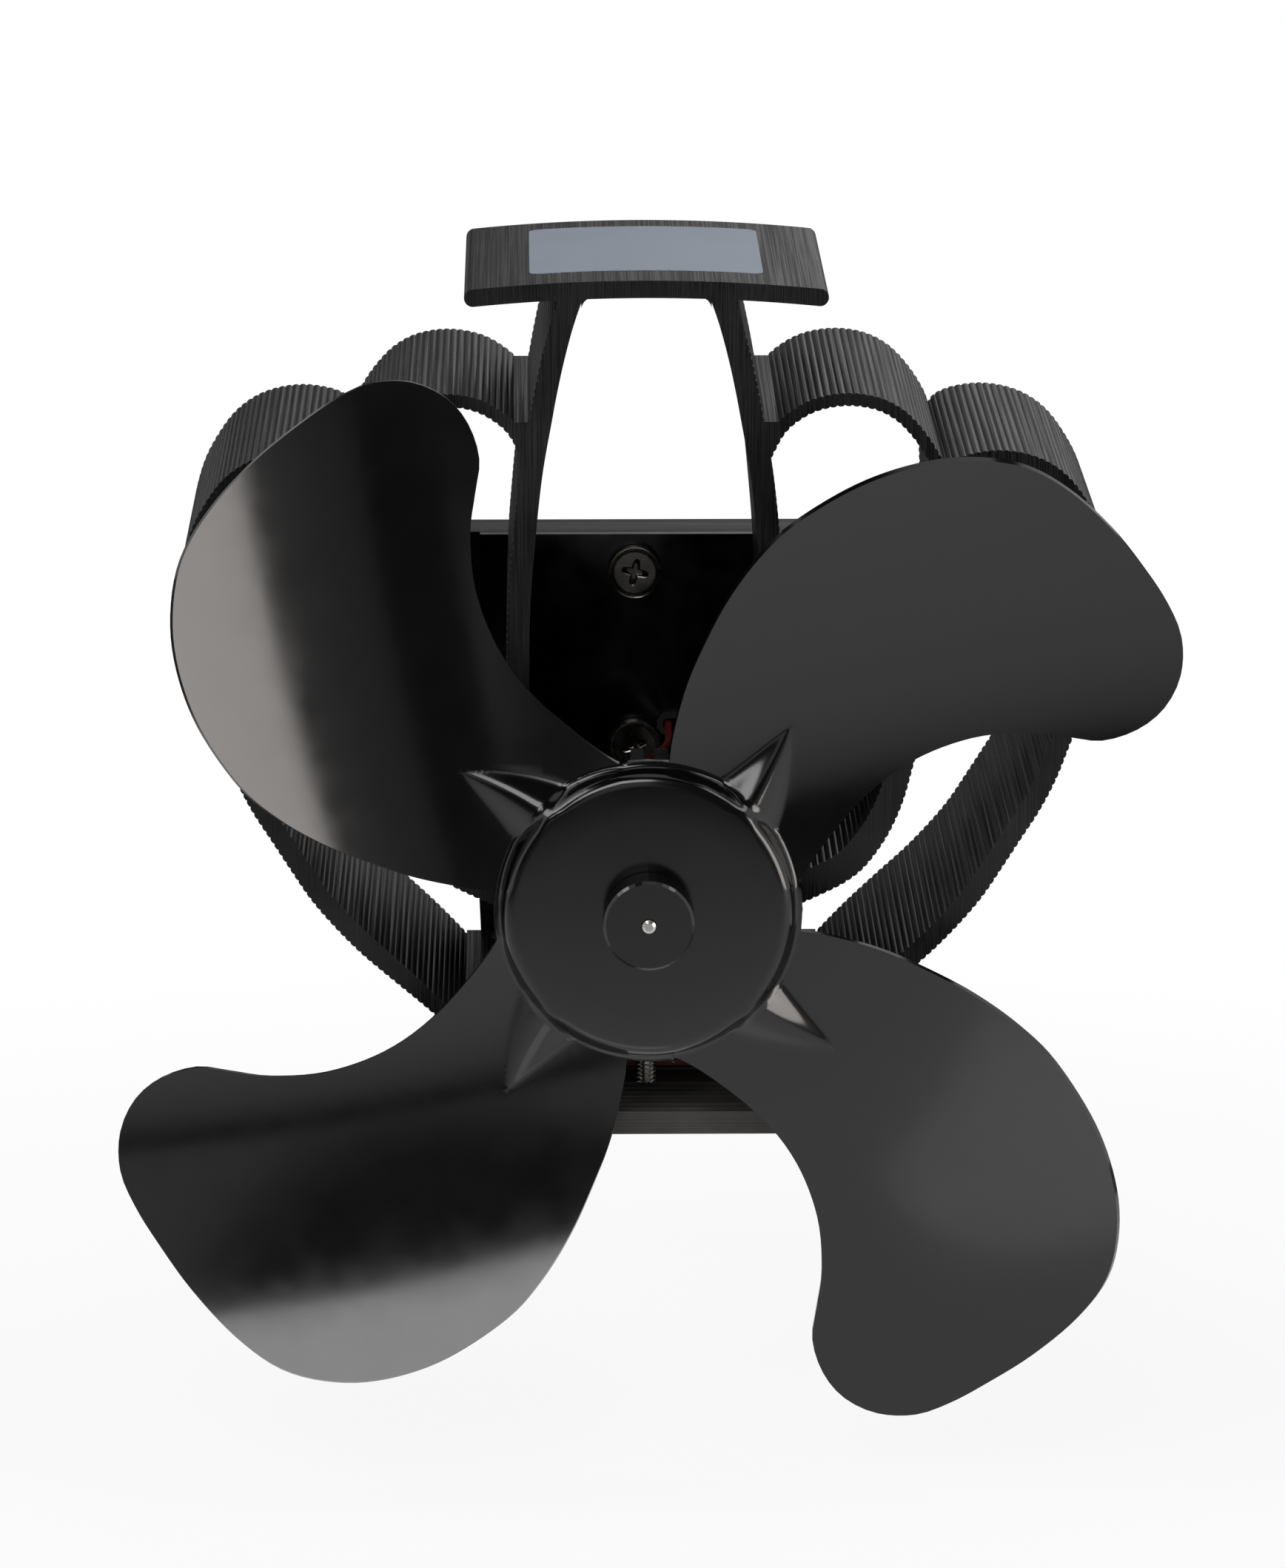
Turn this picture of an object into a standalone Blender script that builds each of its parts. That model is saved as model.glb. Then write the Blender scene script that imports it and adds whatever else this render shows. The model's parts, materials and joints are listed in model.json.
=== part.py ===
"""Heat-powered stove fan: a ribbed aluminium heat sink over a thermoelectric module on a
grooved base, with a small motor that turns one pressed sheet of four blades.

Metres, +Z up. The fan faces -Y, and +X is to the right of someone who looks at it.
The origin is the centre of the base's underside.
"""

import math

import bmesh
import bpy
from mathutils import Vector
from mathutils.geometry import delaunay_2d_cdt

for old_object in list(bpy.data.objects):
    bpy.data.objects.remove(old_object)

# Clearances
SEAT_GAP = 0.0003
STACK_GAP = 0.00025
RUNNING_GAP = 0.00012
OVERRUN = 0.001
WELD = 0.000001

# Base: an extrusion along X with grooved flanks
BASE_WIDTH = 0.062
BASE_DEPTH = 0.066
BASE_HEIGHT = 0.0063
FOOT_HEIGHT = 0.0035
FLANK_DEPTH = 0.0064
FLANK_RIBS = 7
FLANK_RIB_HEIGHT = 0.0003
SCREW_PLUG_DEPTH = 0.0042

# Thermoelectric module between base and heat sink
MODULE_MARGIN = 0.009
SEAL_WALL = 0.0007
PAD_THICKNESS = 0.0004
CERAMIC_THICKNESS = 0.0006
CORE_THICKNESS = 0.0013
CORE_MARGIN = 0.001

# Heat sink: one extrusion along Y, drawn from the fan's axis
SINK_DEPTH = 0.058
HALF_WIDTH = 0.0695
HANDLE_RISE = 0.0913
PLATE_DROP = 0.0207
PLATE_WALL = 0.0054
PLATE_HALF_WIDTH = 0.0272
PLATE_TAPER = 0.0042
LEG_WALL = 0.0034
ARCH_WALL = 0.002
PETAL_WALL = 0.0036
PETAL_FOOT_WALL = 0.0046
OUTER_ARCH_WALL = 0.0022
ARC_WALL = 0.003
ARC_FOOT_WALL = 0.0018
HANDLE_HALF_WIDTH = 0.0268
HANDLE_WALL = 0.0026
HANDLE_SAG = 0.0014
HANDLE_FILLET = 0.0016
EDGE_STEP = 0.0024
RIB_PITCH = 0.0019
RIB_DEPTH = 0.0003

# Shares of HALF_WIDTH and of HANDLE_RISE, from the fan's axis
LEG_INNER_SHARES = (
    (0.132, 0.975), (0.154, 0.926), (0.173, 0.872), (0.188, 0.820), (0.200, 0.771),
    (0.222, 0.674), (0.239, 0.548), (0.248, 0.449), (0.250, 0.329), (0.250, 0.150),
)
INNER_PETAL_SHARES = (
    (0.239, 0.717), (0.268, 0.758), (0.302, 0.784), (0.355, 0.806), (0.424, 0.815),
    (0.492, 0.808), (0.544, 0.788), (0.584, 0.758), (0.616, 0.723), (0.635, 0.690),
    (0.643, 0.635), (0.646, 0.548), (0.638, 0.438), (0.616, 0.323), (0.574, 0.207),
    (0.551, 0.142), (0.525, 0.094), (0.496, 0.057), (0.462, 0.025), (0.424, 0.003),
    (0.381, -0.014), (0.328, -0.032), (0.270, -0.046),
)
VALLEY_SHARES = ((0.245, 0.734), (0.282, 0.756), (0.282, 0.768), (0.2475, 0.768))
OUTER_PETAL_SHARES = (
    (0.624, 0.672), (0.641, 0.696), (0.660, 0.707), (0.694, 0.716), (0.747, 0.721),
    (0.803, 0.716), (0.855, 0.701), (0.901, 0.674), (0.938, 0.636), (0.967, 0.594),
    (0.987, 0.542), (0.998, 0.487), (0.996, 0.436), (0.976, 0.372), (0.945, 0.307),
    (0.910, 0.241), (0.878, 0.177), (0.843, 0.124), (0.804, 0.077), (0.765, 0.030),
    (0.721, -0.021), (0.671, -0.067), (0.614, -0.112), (0.551, -0.154), (0.486, -0.196),
    (0.436, -0.230), (0.389, -0.264), (0.354, -0.281), (0.317, -0.284),
)

# Bracket: a folded steel U that carries the motor in front and the rear block behind
BRACKET_SHEET = 0.002
BRACKET_WIDTH = 0.030
BRACKET_RISE = 0.013
BRACKET_BEND = 0.003
PANEL_HALF_WIDTH = 0.0249
PANEL_RISE = 0.0421
BLOCK_DEPTH = 0.010
BLOCK_TOP_HALF_WIDTH = 0.0278
BLOCK_TAIL = 0.004
WIRE_CHANNEL_WIDTH = 0.0052
WIRE_CHANNEL_DEPTH = 0.0030

# M4 pan-head screws of the panel
PANEL_SCREW_X = -0.001
PANEL_SCREW_RISES = (0.0091, 0.0365)
PANEL_SCREW_RADIUS = 0.002
PANEL_HEAD_RADIUS = 0.004
PANEL_HEAD_HEIGHT = 0.0026
PANEL_SCREW_REACH = 0.0085

# M3 clamp screws and their spring washers
CLAMP_INSET = 0.004
CLAMP_SCREW_RADIUS = 0.0015
CLAMP_HEAD_RADIUS = 0.0028
CLAMP_HEAD_HEIGHT = 0.002
CLAMP_REACH = 0.0036
WASHER_RADIUS = 0.003
WASHER_THICKNESS = 0.0007

# Motor, on the fan's axis
MOTOR_RADIUS = 0.0122
MOTOR_FRONT_Y = -0.0354
CAN_LENGTH = 0.025
CAN_WALL = 0.0009
NOSE_RADIUS = 0.0042
NOSE_LENGTH = 0.0032
BUSH_RADIUS = 0.003
BUSH_LENGTH = 0.003
CAP_THICKNESS = 0.0028
MAGNET_THICKNESS = 0.002
MAGNET_LENGTH = 0.017
MAGNET_HALF_ANGLE = math.radians(62)
CORE_RADIUS = 0.0084
CORE_LENGTH = 0.012
CORE_HUB_RADIUS = 0.0028
POLE_THICKNESS = 0.0014
POLE_HALF_ANGLE = math.radians(50)
STEM_HALF_WIDTH = 0.0012
COIL_WALL = 0.0013
COMMUTATOR_RADIUS = 0.0026
COMMUTATOR_LENGTH = 0.003
BRUSH_SIZE = 0.002
BRUSH_LENGTH = 0.0026
TERMINAL_X = 0.00075
TERMINAL_SPREAD = 0.0018
TERMINAL_RISE = 0.0096
TERMINAL_WIDTH = 0.0021
TERMINAL_THICKNESS = 0.0005
TAB_HEIGHT = 0.0064
MOTOR_SCREW_X = 0.008
MOTOR_SCREW_RADIUS = 0.001
MOTOR_SCREW_HEAD_RADIUS = 0.0019
MOTOR_SCREW_HEAD_HEIGHT = 0.0013

# Rotor outside the motor
SHAFT_RADIUS = 0.001
BOSS_FRONT_Y = -0.055
BOSS_RADIUS = 0.0067
BOSS_LENGTH = 0.0062
BOSS_CHAMFER = 0.0004
NECK_RADIUS = 0.004
SHAFT_TIP = 0.0005
RING_RADIUS = 0.007
RING_THICKNESS = 0.0012
FAN_RADIUS = 0.0886
SHEET = 0.0009
DOME_RADIUS = 0.0222
DOME_WALL = 0.0028
DOME_DEPTH = 0.0031
DOME_CROWN = 0.0003
FLANGE_RADIUS = 0.0224
BLEND_START = 0.0235
BLEND_END = 0.036
BLADE_COUNT = 4
BLADE_AXIS = math.radians(-55)
BLADE_OFFSET = 0.0016
DART_AXIS = math.radians(-52.7)
DART_SKEW = math.radians(7.5)
DART_REACH = 0.0330
DART_HALF_WIDTH = 0.006

# The blade's outline: radius as a share of FAN_RADIUS, and degrees from the blade's axis
BLADE_ROOT_DEGREES = (49.5, -27.0)
BLADE_OUTLINE_SHARES = (
    (0.253, 45.0), (0.306, 35.0), (0.410, 27.2), (0.508, 25.6), (0.608, 27.1),
    (0.695, 30.1), (0.755, 32.9), (0.804, 34.8), (0.865, 35.0), (0.920, 33.8),
    (0.965, 31.3), (0.993, 27.9), (1.000, 24.3), (1.000, 20.2), (1.000, 14.9),
    (0.995, 9.0), (0.979, 3.8), (0.939, -1.0), (0.884, -5.5), (0.809, -10.3),
    (0.712, -15.5), (0.637, -18.6), (0.555, -21.3), (0.473, -23.5), (0.390, -25.7),
    (0.302, -27.1),
)
# The blade's form, all as shares of FAN_RADIUS: its pitch across grows with the reach
PITCH_SHARES = (-0.138, 0.8275, -0.2355)
DISH_SHARE = -0.341
RAKE_SHARES = (0.165, -0.273)

# Leads
LEAD_RADIUS = 0.0006
LEAD_HALF_SPREAD = 0.0009
LEAD_SAG = 0.0016
GROMMET_X = 0.0051
GROMMET_RISE = 0.0123
GROMMET_HALF_WIDTH = 0.00215
GROMMET_HALF_HEIGHT = 0.00125
GROMMET_LIP = 0.0006
GROMMET_LIP_THICKNESS = 0.001

# Sizes and places that follow from those above
MODULE_SIDE = SINK_DEPTH - 2 * MODULE_MARGIN
CLAMP_SCREW_Y = SINK_DEPTH / 2 - CLAMP_INSET
PLATE_Z = (
    BASE_HEIGHT + 6 * STACK_GAP + 2 * PAD_THICKNESS + 2 * CERAMIC_THICKNESS + CORE_THICKNESS
)
AXIS_Z = PLATE_Z + PLATE_WALL + PLATE_DROP
LEG_FLOOR_Z = PLATE_Z + PLATE_WALL + SEAT_GAP
PANEL_FRONT_Y = SINK_DEPTH / 2 + SEAT_GAP
PANEL_BACK_Y = PANEL_FRONT_Y + BRACKET_SHEET
BLOCK_FRONT_Y = PANEL_BACK_Y + SEAT_GAP
CAN_REAR_Y = MOTOR_FRONT_Y + CAN_LENGTH
CAP_REAR_Y = CAN_REAR_Y + SEAT_GAP + CAP_THICKNESS
DOME_FACE_Y = BOSS_FRONT_Y + BOSS_LENGTH + SEAT_GAP
ROOT_Y = DOME_FACE_Y + DOME_CROWN + DOME_DEPTH
DART_START = DOME_RADIUS - DOME_WALL
DOME_HOLE_RADIUS = NECK_RADIUS + SEAT_GAP


# Materials
def linear(hex_colour):
    """Turns an sRGB hex colour into the linear RGBA that a shader takes."""
    parts = [int(hex_colour[i : i + 2], 16) / 255 for i in (1, 3, 5)]
    return [p / 12.92 if p < 0.04045 else ((p + 0.055) / 1.055) ** 2.4 for p in parts] + [1]


def material(name, hex_colour, roughness, metallic):
    made = bpy.data.materials.new(name)
    made.use_nodes = True
    shader = made.node_tree.nodes["Principled BSDF"]
    shader.inputs["Base Color"].default_value = linear(hex_colour)
    shader.inputs["Roughness"].default_value = roughness
    shader.inputs["Metallic"].default_value = metallic
    return made


BLACK_ANODISED = material("black_anodised_aluminium", "#232324", 0.42, 0.7)
BLACK_PAINT = material("satin_black_paint", "#1b1a1a", 0.35, 0.1)
BLACK_STEEL = material("gloss_black_steel", "#0b0a0b", 0.18, 0.3)
BLACK_ZINC = material("black_zinc_screw", "#2b2a29", 0.3, 0.9)
BRIGHT_STEEL = material("bright_steel", "#b9b8b4", 0.25, 1.0)
CERAMIC = material("white_alumina", "#dcdad2", 0.5, 0.0)
PELLETS = material("bismuth_telluride", "#4b4a52", 0.5, 0.6)
GRAPHITE = material("graphite_pad", "#2f3032", 0.6, 0.2)
RED_SILICONE = material("red_silicone", "#6b1f16", 0.55, 0.0)
BLACK_RUBBER = material("black_rubber", "#151515", 0.7, 0.0)
BLACK_NYLON = material("black_nylon", "#1c1c1d", 0.5, 0.0)
FERRITE = material("ferrite", "#3a3937", 0.7, 0.1)
COPPER = material("enamelled_copper", "#9a4a22", 0.3, 0.9)
BRASS = material("brass", "#b08d4a", 0.35, 1.0)
CARBON = material("carbon", "#202020", 0.6, 0.1)


# Helpers
def finish(name, bm, made_of, origin=(0, 0, 0), smooth=30):
    """Makes an object of a bmesh, with its faces outwards."""
    bmesh.ops.remove_doubles(bm, verts=bm.verts, dist=WELD)
    bmesh.ops.recalc_face_normals(bm, faces=bm.faces)
    mesh = bpy.data.meshes.new(name)
    bm.to_mesh(mesh)
    bm.free()
    mesh.materials.append(made_of)
    mesh.shade_smooth()
    mesh.set_sharp_from_angle(angle=math.radians(smooth))
    made = bpy.data.objects.new(name, mesh)
    made.location = origin
    bpy.context.scene.collection.objects.link(made)
    return made


def place(axis, a, b, along):
    """A point of an outline in 3-D: the outline lies square to the axis."""
    return {"X": (along, a, b), "Y": (a, along, b), "Z": (a, b, along)}[axis]


def anticlockwise(outline):
    """The outline in the order that the triangulation takes as filled."""
    ends = zip(outline, outline[1:] + outline[:1])
    area = sum(ax * by - bx * ay for (ax, ay), (bx, by) in ends)
    return outline if area > 0 else list(reversed(outline))


def extruded_bmesh(axis, solids, start, end, holes=()):
    """The union of the solid outlines less the holes, extruded along an axis."""
    points, faces = [], []
    for outline in list(solids) + list(holes):
        faces.append(list(range(len(points), len(points) + len(outline))))
        points += [Vector(p) for p in anticlockwise(outline)]
    found = delaunay_2d_cdt(points, [], faces, 1, WELD)
    bm = bmesh.new()
    verts = [bm.verts.new(place(axis, p.x, p.y, start)) for p in found[0]]
    for triangle, sources in zip(found[2], found[5]):
        if sources and all(source < len(solids) for source in sources):
            bm.faces.new([verts[i] for i in triangle])
    bmesh.ops.delete(bm, geom=[v for v in verts if not v.link_faces], context="VERTS")
    grown = bmesh.ops.extrude_face_region(bm, geom=bm.faces[:])
    moved = [g for g in grown["geom"] if isinstance(g, bmesh.types.BMVert)]
    bmesh.ops.translate(bm, verts=moved, vec=place(axis, 0, 0, end - start))
    return bm


def extruded(name, made_of, axis, solids, start, end, holes=(), origin=(0, 0, 0)):
    return finish(name, extruded_bmesh(axis, solids, start, end, holes), made_of, origin)


def turned(name, made_of, profile, origin, steps=32, axis="Y"):
    """A profile of (radius, place along the axis), spun once round the axis."""
    bm = bmesh.new()
    verts = [bm.verts.new(place(axis, r, 0, along)) for r, along in profile]
    ends = list(zip(verts, verts[1:]))
    if min(profile[0][0], profile[-1][0]) > 0:
        ends.append((verts[-1], verts[0]))
    for a, b in ends:
        bm.edges.new((a, b))
    bmesh.ops.spin(
        bm, geom=bm.verts[:] + bm.edges[:], cent=(0, 0, 0), axis=place(axis, 0, 0, 1),
        angle=math.tau, steps=steps, use_merge=True,
    )
    return finish(name, bm, made_of, origin)


def tube_profile(inner, outer, start, end):
    return [(inner, start), (outer, start), (outer, end), (inner, end)]


def rectangle(x0, y0, x1, y1):
    return [(x0, y0), (x1, y0), (x1, y1), (x0, y1)]


def circle(x, y, radius, count=24):
    angles = [math.tau * i / count for i in range(count)]
    return [(x + radius * math.cos(a), y + radius * math.sin(a)) for a in angles]


def oblong(x, y, half_width, half_height, count=5):
    """A slot outline with round ends, wider than it is high."""
    run = half_width - half_height
    turn = [math.pi * i / count - math.pi / 2 for i in range(count + 1)]
    right = [(x + run + half_height * math.cos(a), y + half_height * math.sin(a)) for a in turn]
    left = [(x - run - half_height * math.cos(a), y - half_height * math.sin(a)) for a in turn]
    return right + left


def smooth_line(points, step):
    """Points about one step apart on a Catmull-Rom curve through the given points."""
    points = [Vector(p) for p in points]
    padded = [2 * points[0] - points[1]] + points + [2 * points[-1] - points[-2]]
    line = []
    for a, b, c, d in zip(padded, padded[1:], padded[2:], padded[3:]):
        count = max(1, round((c - b).length / step))
        for i in range(count):
            t = i / count
            line.append(
                b + (c - a) * t / 2 + (2 * a - 5 * b + 4 * c - d) * t**2 / 2
                + (3 * b - 3 * c + d - a) * t**3 / 2
            )
    return line + [points[-1]]


def way_at(line, i):
    return (line[min(i + 1, len(line) - 1)] - line[max(i - 1, 0)]).normalized()


def offset(line, walls):
    """The line moved to its right, by the wall at each of its points."""
    moved = []
    for i, p in enumerate(line):
        way = way_at(line, i)
        moved.append(p + Vector((way.y, -way.x)) * walls[i])
    return moved


def ribbed(line, depth):
    """The line with a rib every RIB_PITCH, let in by depth to its right."""
    lengths = [0]
    for a, b in zip(line, line[1:]):
        lengths.append(lengths[-1] + (b - a).length)
    count = 2 * max(1, round(lengths[-1] / RIB_PITCH))
    made, at = [line[0]], 0
    for i in range(1, count):
        reach = lengths[-1] * i / count
        while lengths[at + 1] < reach:
            at += 1
        share = (reach - lengths[at]) / (lengths[at + 1] - lengths[at])
        way = way_at(line, at).lerp(way_at(line, at + 1), share).normalized()
        inward = Vector((way.y, -way.x)) * (depth if i % 2 else 0)
        made.append(line[at].lerp(line[at + 1], share) + inward)
    return made + [line[-1]]


def band(line, walls, rib=0, far_rib=0):
    """The outline of a wall that follows a line on its right, as thick as walls says there.
    rib and far_rib are the depths of the ribs in the line's own edge and in the far one."""
    far = offset(line, walls)
    near = ribbed(line, rib) if rib else line
    far = ribbed(far, -far_rib) if far_rib else far
    return [tuple(p) for p in near] + [tuple(p) for p in reversed(far)]


def eased(a, b, share):
    """From a to b as share goes from 0 to 1, level at both ends."""
    share = min(1, max(0, share))
    return a + (b - a) * share * share * (3 - 2 * share)


def fillet(x, y, first, second, count=5):
    """Fills an inside corner: first and second are the runs along its two sides."""
    corner, first, second = Vector((x, y)), Vector(first), Vector(second)
    ts = [i / count for i in range(count + 1)]
    arc = [corner + first * (1 - t) ** 2 + second * t**2 for t in ts]
    return [tuple(corner - (first + second) / 3)] + [tuple(p) for p in arc]


def mirrored(outline):
    return [(-x, y) for x, y in reversed(outline)]


# Heat sink
def handle_outline():
    """The arched grip bar, round at both ends."""
    def top(x):
        return HANDLE_RISE - HANDLE_SAG * (x / HANDLE_HALF_WIDTH) ** 2

    run = HANDLE_HALF_WIDTH - HANDLE_WALL / 2
    xs = [run * (1 - i / 8) for i in range(17)]
    turn = [math.pi * i / 8 for i in range(1, 8)]
    upper = [(x, top(x)) for x in xs]
    lower = [(x, top(x) - HANDLE_WALL) for x in reversed(xs)]
    middle = top(run) - HANDLE_WALL / 2
    radius = HANDLE_WALL / 2
    left = [(-run - radius * math.sin(a), middle + radius * math.cos(a)) for a in turn]
    right = [(run + radius * math.sin(a), middle - radius * math.cos(a)) for a in turn]
    return upper + left + lower + right


def scaled(shares):
    return [(x * HALF_WIDTH, z * HANDLE_RISE) for x, z in shares]


def leg_outline():
    floor = (LEG_INNER_SHARES[-1][0] * HALF_WIDTH, -PLATE_DROP - PLATE_WALL / 2)
    line = smooth_line(scaled(LEG_INNER_SHARES), EDGE_STEP * 2) + [Vector(floor)]
    line = [Vector((-p.x, p.y)) for p in line]
    return mirrored(band(line, [LEG_WALL] * len(line), far_rib=RIB_DEPTH))


def petal_outline(shares, changes):
    """A petal's band. changes are (share of its points, wall), in order."""
    line = smooth_line(scaled(shares), EDGE_STEP)
    walls = []
    for i in range(len(line)):
        at = i / (len(line) - 1)
        wall = changes[0][1]
        for (a, wall_a), (b, wall_b) in zip(changes, changes[1:]):
            if at >= a:
                wall = eased(wall_a, wall_b, (at - a) / (b - a))
        walls.append(wall)
    return band(line, walls, rib=RIB_DEPTH)


def handle_fillets():
    """The inside corners where a leg meets the handle."""
    x, z = scaled(LEG_INNER_SHARES)[0]
    under = HANDLE_RISE - HANDLE_WALL
    x_out = x + LEG_WALL
    size = HANDLE_FILLET
    inner = fillet(x, under, (-size, 0), (size / 4, -size))
    sag = HANDLE_SAG * (x_out / HANDLE_HALF_WIDTH) ** 2
    outer = fillet(x_out, under - sag, (size, 0), (size / 4, -size))
    return [inner, outer]


def sink_outlines():
    plate = [
        (-PLATE_HALF_WIDTH + PLATE_TAPER, -PLATE_DROP - PLATE_WALL),
        (PLATE_HALF_WIDTH - PLATE_TAPER, -PLATE_DROP - PLATE_WALL),
        (PLATE_HALF_WIDTH, -PLATE_DROP),
        (-PLATE_HALF_WIDTH, -PLATE_DROP),
    ]
    inner_walls = ((0, ARCH_WALL), (0.42, ARCH_WALL), (0.62, PETAL_WALL), (1, PETAL_FOOT_WALL))
    outer_walls = (
        (0, OUTER_ARCH_WALL), (0.25, OUTER_ARCH_WALL), (0.5, ARC_WALL), (0.8, ARC_WALL),
        (1, ARC_FOOT_WALL),
    )
    half = [
        leg_outline(),
        petal_outline(INNER_PETAL_SHARES, inner_walls),
        petal_outline(OUTER_PETAL_SHARES, outer_walls),
        scaled(VALLEY_SHARES),
    ] + handle_fillets()
    return [handle_outline(), plate] + half + [mirrored(outline) for outline in half]


def cutter(bm, origin):
    made = finish("cutter", bm, BLACK_PAINT, origin)
    made.hide_render = True
    made.display_type = "WIRE"
    return made


def cut(made, cutters, operation="DIFFERENCE"):
    for tool in cutters:
        modifier = made.modifiers.new("boolean", "BOOLEAN")
        modifier.object = tool
        modifier.operation = operation
        modifier.solver = "EXACT"


def round_cutter(x, y, z, radius, start, end, axis="Z", count=20):
    """A cylinder for a Boolean, from start to end along its axis."""
    outline = circle(0, 0, radius, count)
    return cutter(extruded_bmesh(axis, [outline], start, end), (x, y, z))


def make_heat_sink():
    """Handle, legs, petals and bottom plate are one extrusion, drilled for the clamp screws."""
    sink = extruded(
        "heat_sink", BLACK_ANODISED, "Y", sink_outlines(), -SINK_DEPTH / 2, SINK_DEPTH / 2,
        origin=(0, 0, AXIS_Z),
    )
    radius = CLAMP_SCREW_RADIUS + SEAT_GAP
    reach = (PLATE_Z - OVERRUN, PLATE_Z + PLATE_WALL + OVERRUN)
    cut(sink, [round_cutter(0, y, 0, radius, *reach) for y in (-CLAMP_SCREW_Y, CLAMP_SCREW_Y)])


# Base and module
def base_outline():
    """The base's section in Y and Z: a foot, two grooved flanks and a flat land."""
    half = BASE_DEPTH / 2
    rise = BASE_HEIGHT - FOOT_HEIGHT
    slope = math.hypot(FLANK_DEPTH, rise)
    out = Vector((rise, FLANK_DEPTH)) / slope
    flank = []
    for i in range(2 * FLANK_RIBS + 1):
        share = i / (2 * FLANK_RIBS)
        y = half - FLANK_DEPTH * share
        z = FOOT_HEIGHT + rise * share
        depth = FLANK_RIB_HEIGHT if i % 2 else 0
        flank.append((y - out.x * depth, z - out.y * depth))
    right = [(half, 0)] + flank
    return right + [(-y, z) for y, z in reversed(right)]


def make_base():
    base = extruded(
        "base", BLACK_ANODISED, "X", [base_outline()], -BASE_WIDTH / 2, BASE_WIDTH / 2
    )
    radius = CLAMP_SCREW_RADIUS + SEAT_GAP
    reach = (BASE_HEIGHT - SCREW_PLUG_DEPTH, BASE_HEIGHT + OVERRUN)
    cut(base, [round_cutter(0, y, 0, radius, *reach) for y in (-CLAMP_SCREW_Y, CLAMP_SCREW_Y)])


def square(half):
    return rectangle(-half, -half, half, half)


def make_module():
    """Pad, ceramic, pellet core, ceramic and pad, with a silicone seal round the middle three."""
    half = MODULE_SIDE / 2
    inside = half - SEAL_WALL - SEAT_GAP
    layers = (
        ("lower_graphite_pad", GRAPHITE, half, PAD_THICKNESS),
        ("hot_ceramic", CERAMIC, inside, CERAMIC_THICKNESS),
        ("pellet_core", PELLETS, inside - CORE_MARGIN, CORE_THICKNESS),
        ("cold_ceramic", CERAMIC, inside, CERAMIC_THICKNESS),
        ("upper_graphite_pad", GRAPHITE, half, PAD_THICKNESS),
    )
    z = BASE_HEIGHT
    for name, made_of, reach, thickness in layers:
        z += STACK_GAP
        extruded(name, made_of, "Z", [square(reach)], z, z + thickness)
        z += thickness
    seal_z = BASE_HEIGHT + 2 * STACK_GAP + PAD_THICKNESS
    seal_top = seal_z + 2 * (CERAMIC_THICKNESS + STACK_GAP) + CORE_THICKNESS
    extruded(
        "module_seal", RED_SILICONE, "Z", [square(half)], seal_z, seal_top,
        holes=[square(half - SEAL_WALL)],
    )


# Bracket, rear block and their screws
def bracket_line():
    """The U's inner line in Y and Z: front leg, bottom leg and the foot of the panel."""
    front = MOTOR_FRONT_Y - SEAT_GAP - BRACKET_SHEET
    floor = LEG_FLOOR_Z
    bend = BRACKET_BEND
    turns = [math.pi / 2 * i / 4 for i in range(5)]
    line = [(front, AXIS_Z + BRACKET_RISE)]
    line += [(front + bend - bend * math.cos(a), floor + bend - bend * math.sin(a)) for a in turns]
    back = PANEL_BACK_Y
    line += [(back - bend + bend * math.sin(a), floor + bend - bend * math.cos(a)) for a in turns]
    line += [(back, floor + 2 * bend)]
    return [Vector(p) for p in line]


def make_bracket():
    """The U, its wide rear panel, the motor's holes, and the holes for screws and leads."""
    line = bracket_line()
    strip = mirrored(band([Vector((-p.x, p.y)) for p in line], [BRACKET_SHEET] * len(line)))
    strip_holes = [
        cutter(extruded_bmesh("Y", [circle(0, 0, NOSE_RADIUS + SEAT_GAP)], *leg_span()),
               (0, 0, AXIS_Z)),
    ]
    for x in (-MOTOR_SCREW_X, MOTOR_SCREW_X):
        outline = circle(x, 0, MOTOR_SCREW_RADIUS + SEAT_GAP, 12)
        strip_holes.append(cutter(extruded_bmesh("Y", [outline], *leg_span()), (0, 0, AXIS_Z)))
    radius = CLAMP_SCREW_RADIUS + SEAT_GAP
    floor = (LEG_FLOOR_Z - OVERRUN, LEG_FLOOR_Z + BRACKET_SHEET + OVERRUN)
    for y in (-CLAMP_SCREW_Y, CLAMP_SCREW_Y):
        strip_holes.append(round_cutter(0, y, 0, radius, *floor))
    panel_outline = rectangle(
        -PANEL_HALF_WIDTH, LEG_FLOOR_Z + BRACKET_BEND, PANEL_HALF_WIDTH, AXIS_Z + PANEL_RISE
    )
    screw_holes = [
        circle(PANEL_SCREW_X, AXIS_Z + rise, PANEL_SCREW_RADIUS + SEAT_GAP, 20)
        for rise in PANEL_SCREW_RISES
    ]
    lead_hole = oblong(
        GROMMET_X, AXIS_Z + GROMMET_RISE, GROMMET_HALF_WIDTH + SEAT_GAP,
        GROMMET_HALF_HEIGHT + SEAT_GAP,
    )
    bracket = extruded(
        "motor_bracket", BLACK_STEEL, "Y", [panel_outline], PANEL_FRONT_Y, PANEL_BACK_Y,
        holes=screw_holes + [lead_hole],
    )
    strip_body = cutter(
        extruded_bmesh("X", [strip], -BRACKET_WIDTH / 2, BRACKET_WIDTH / 2), (0, 0, 0)
    )
    cut(bracket, [strip_body], "UNION")
    cut(bracket, strip_holes)


def leg_span():
    """The stretch in Y that a hole through the bracket's front leg is cut along."""
    front = MOTOR_FRONT_Y - SEAT_GAP - BRACKET_SHEET
    return front - OVERRUN, MOTOR_FRONT_Y + OVERRUN


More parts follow.
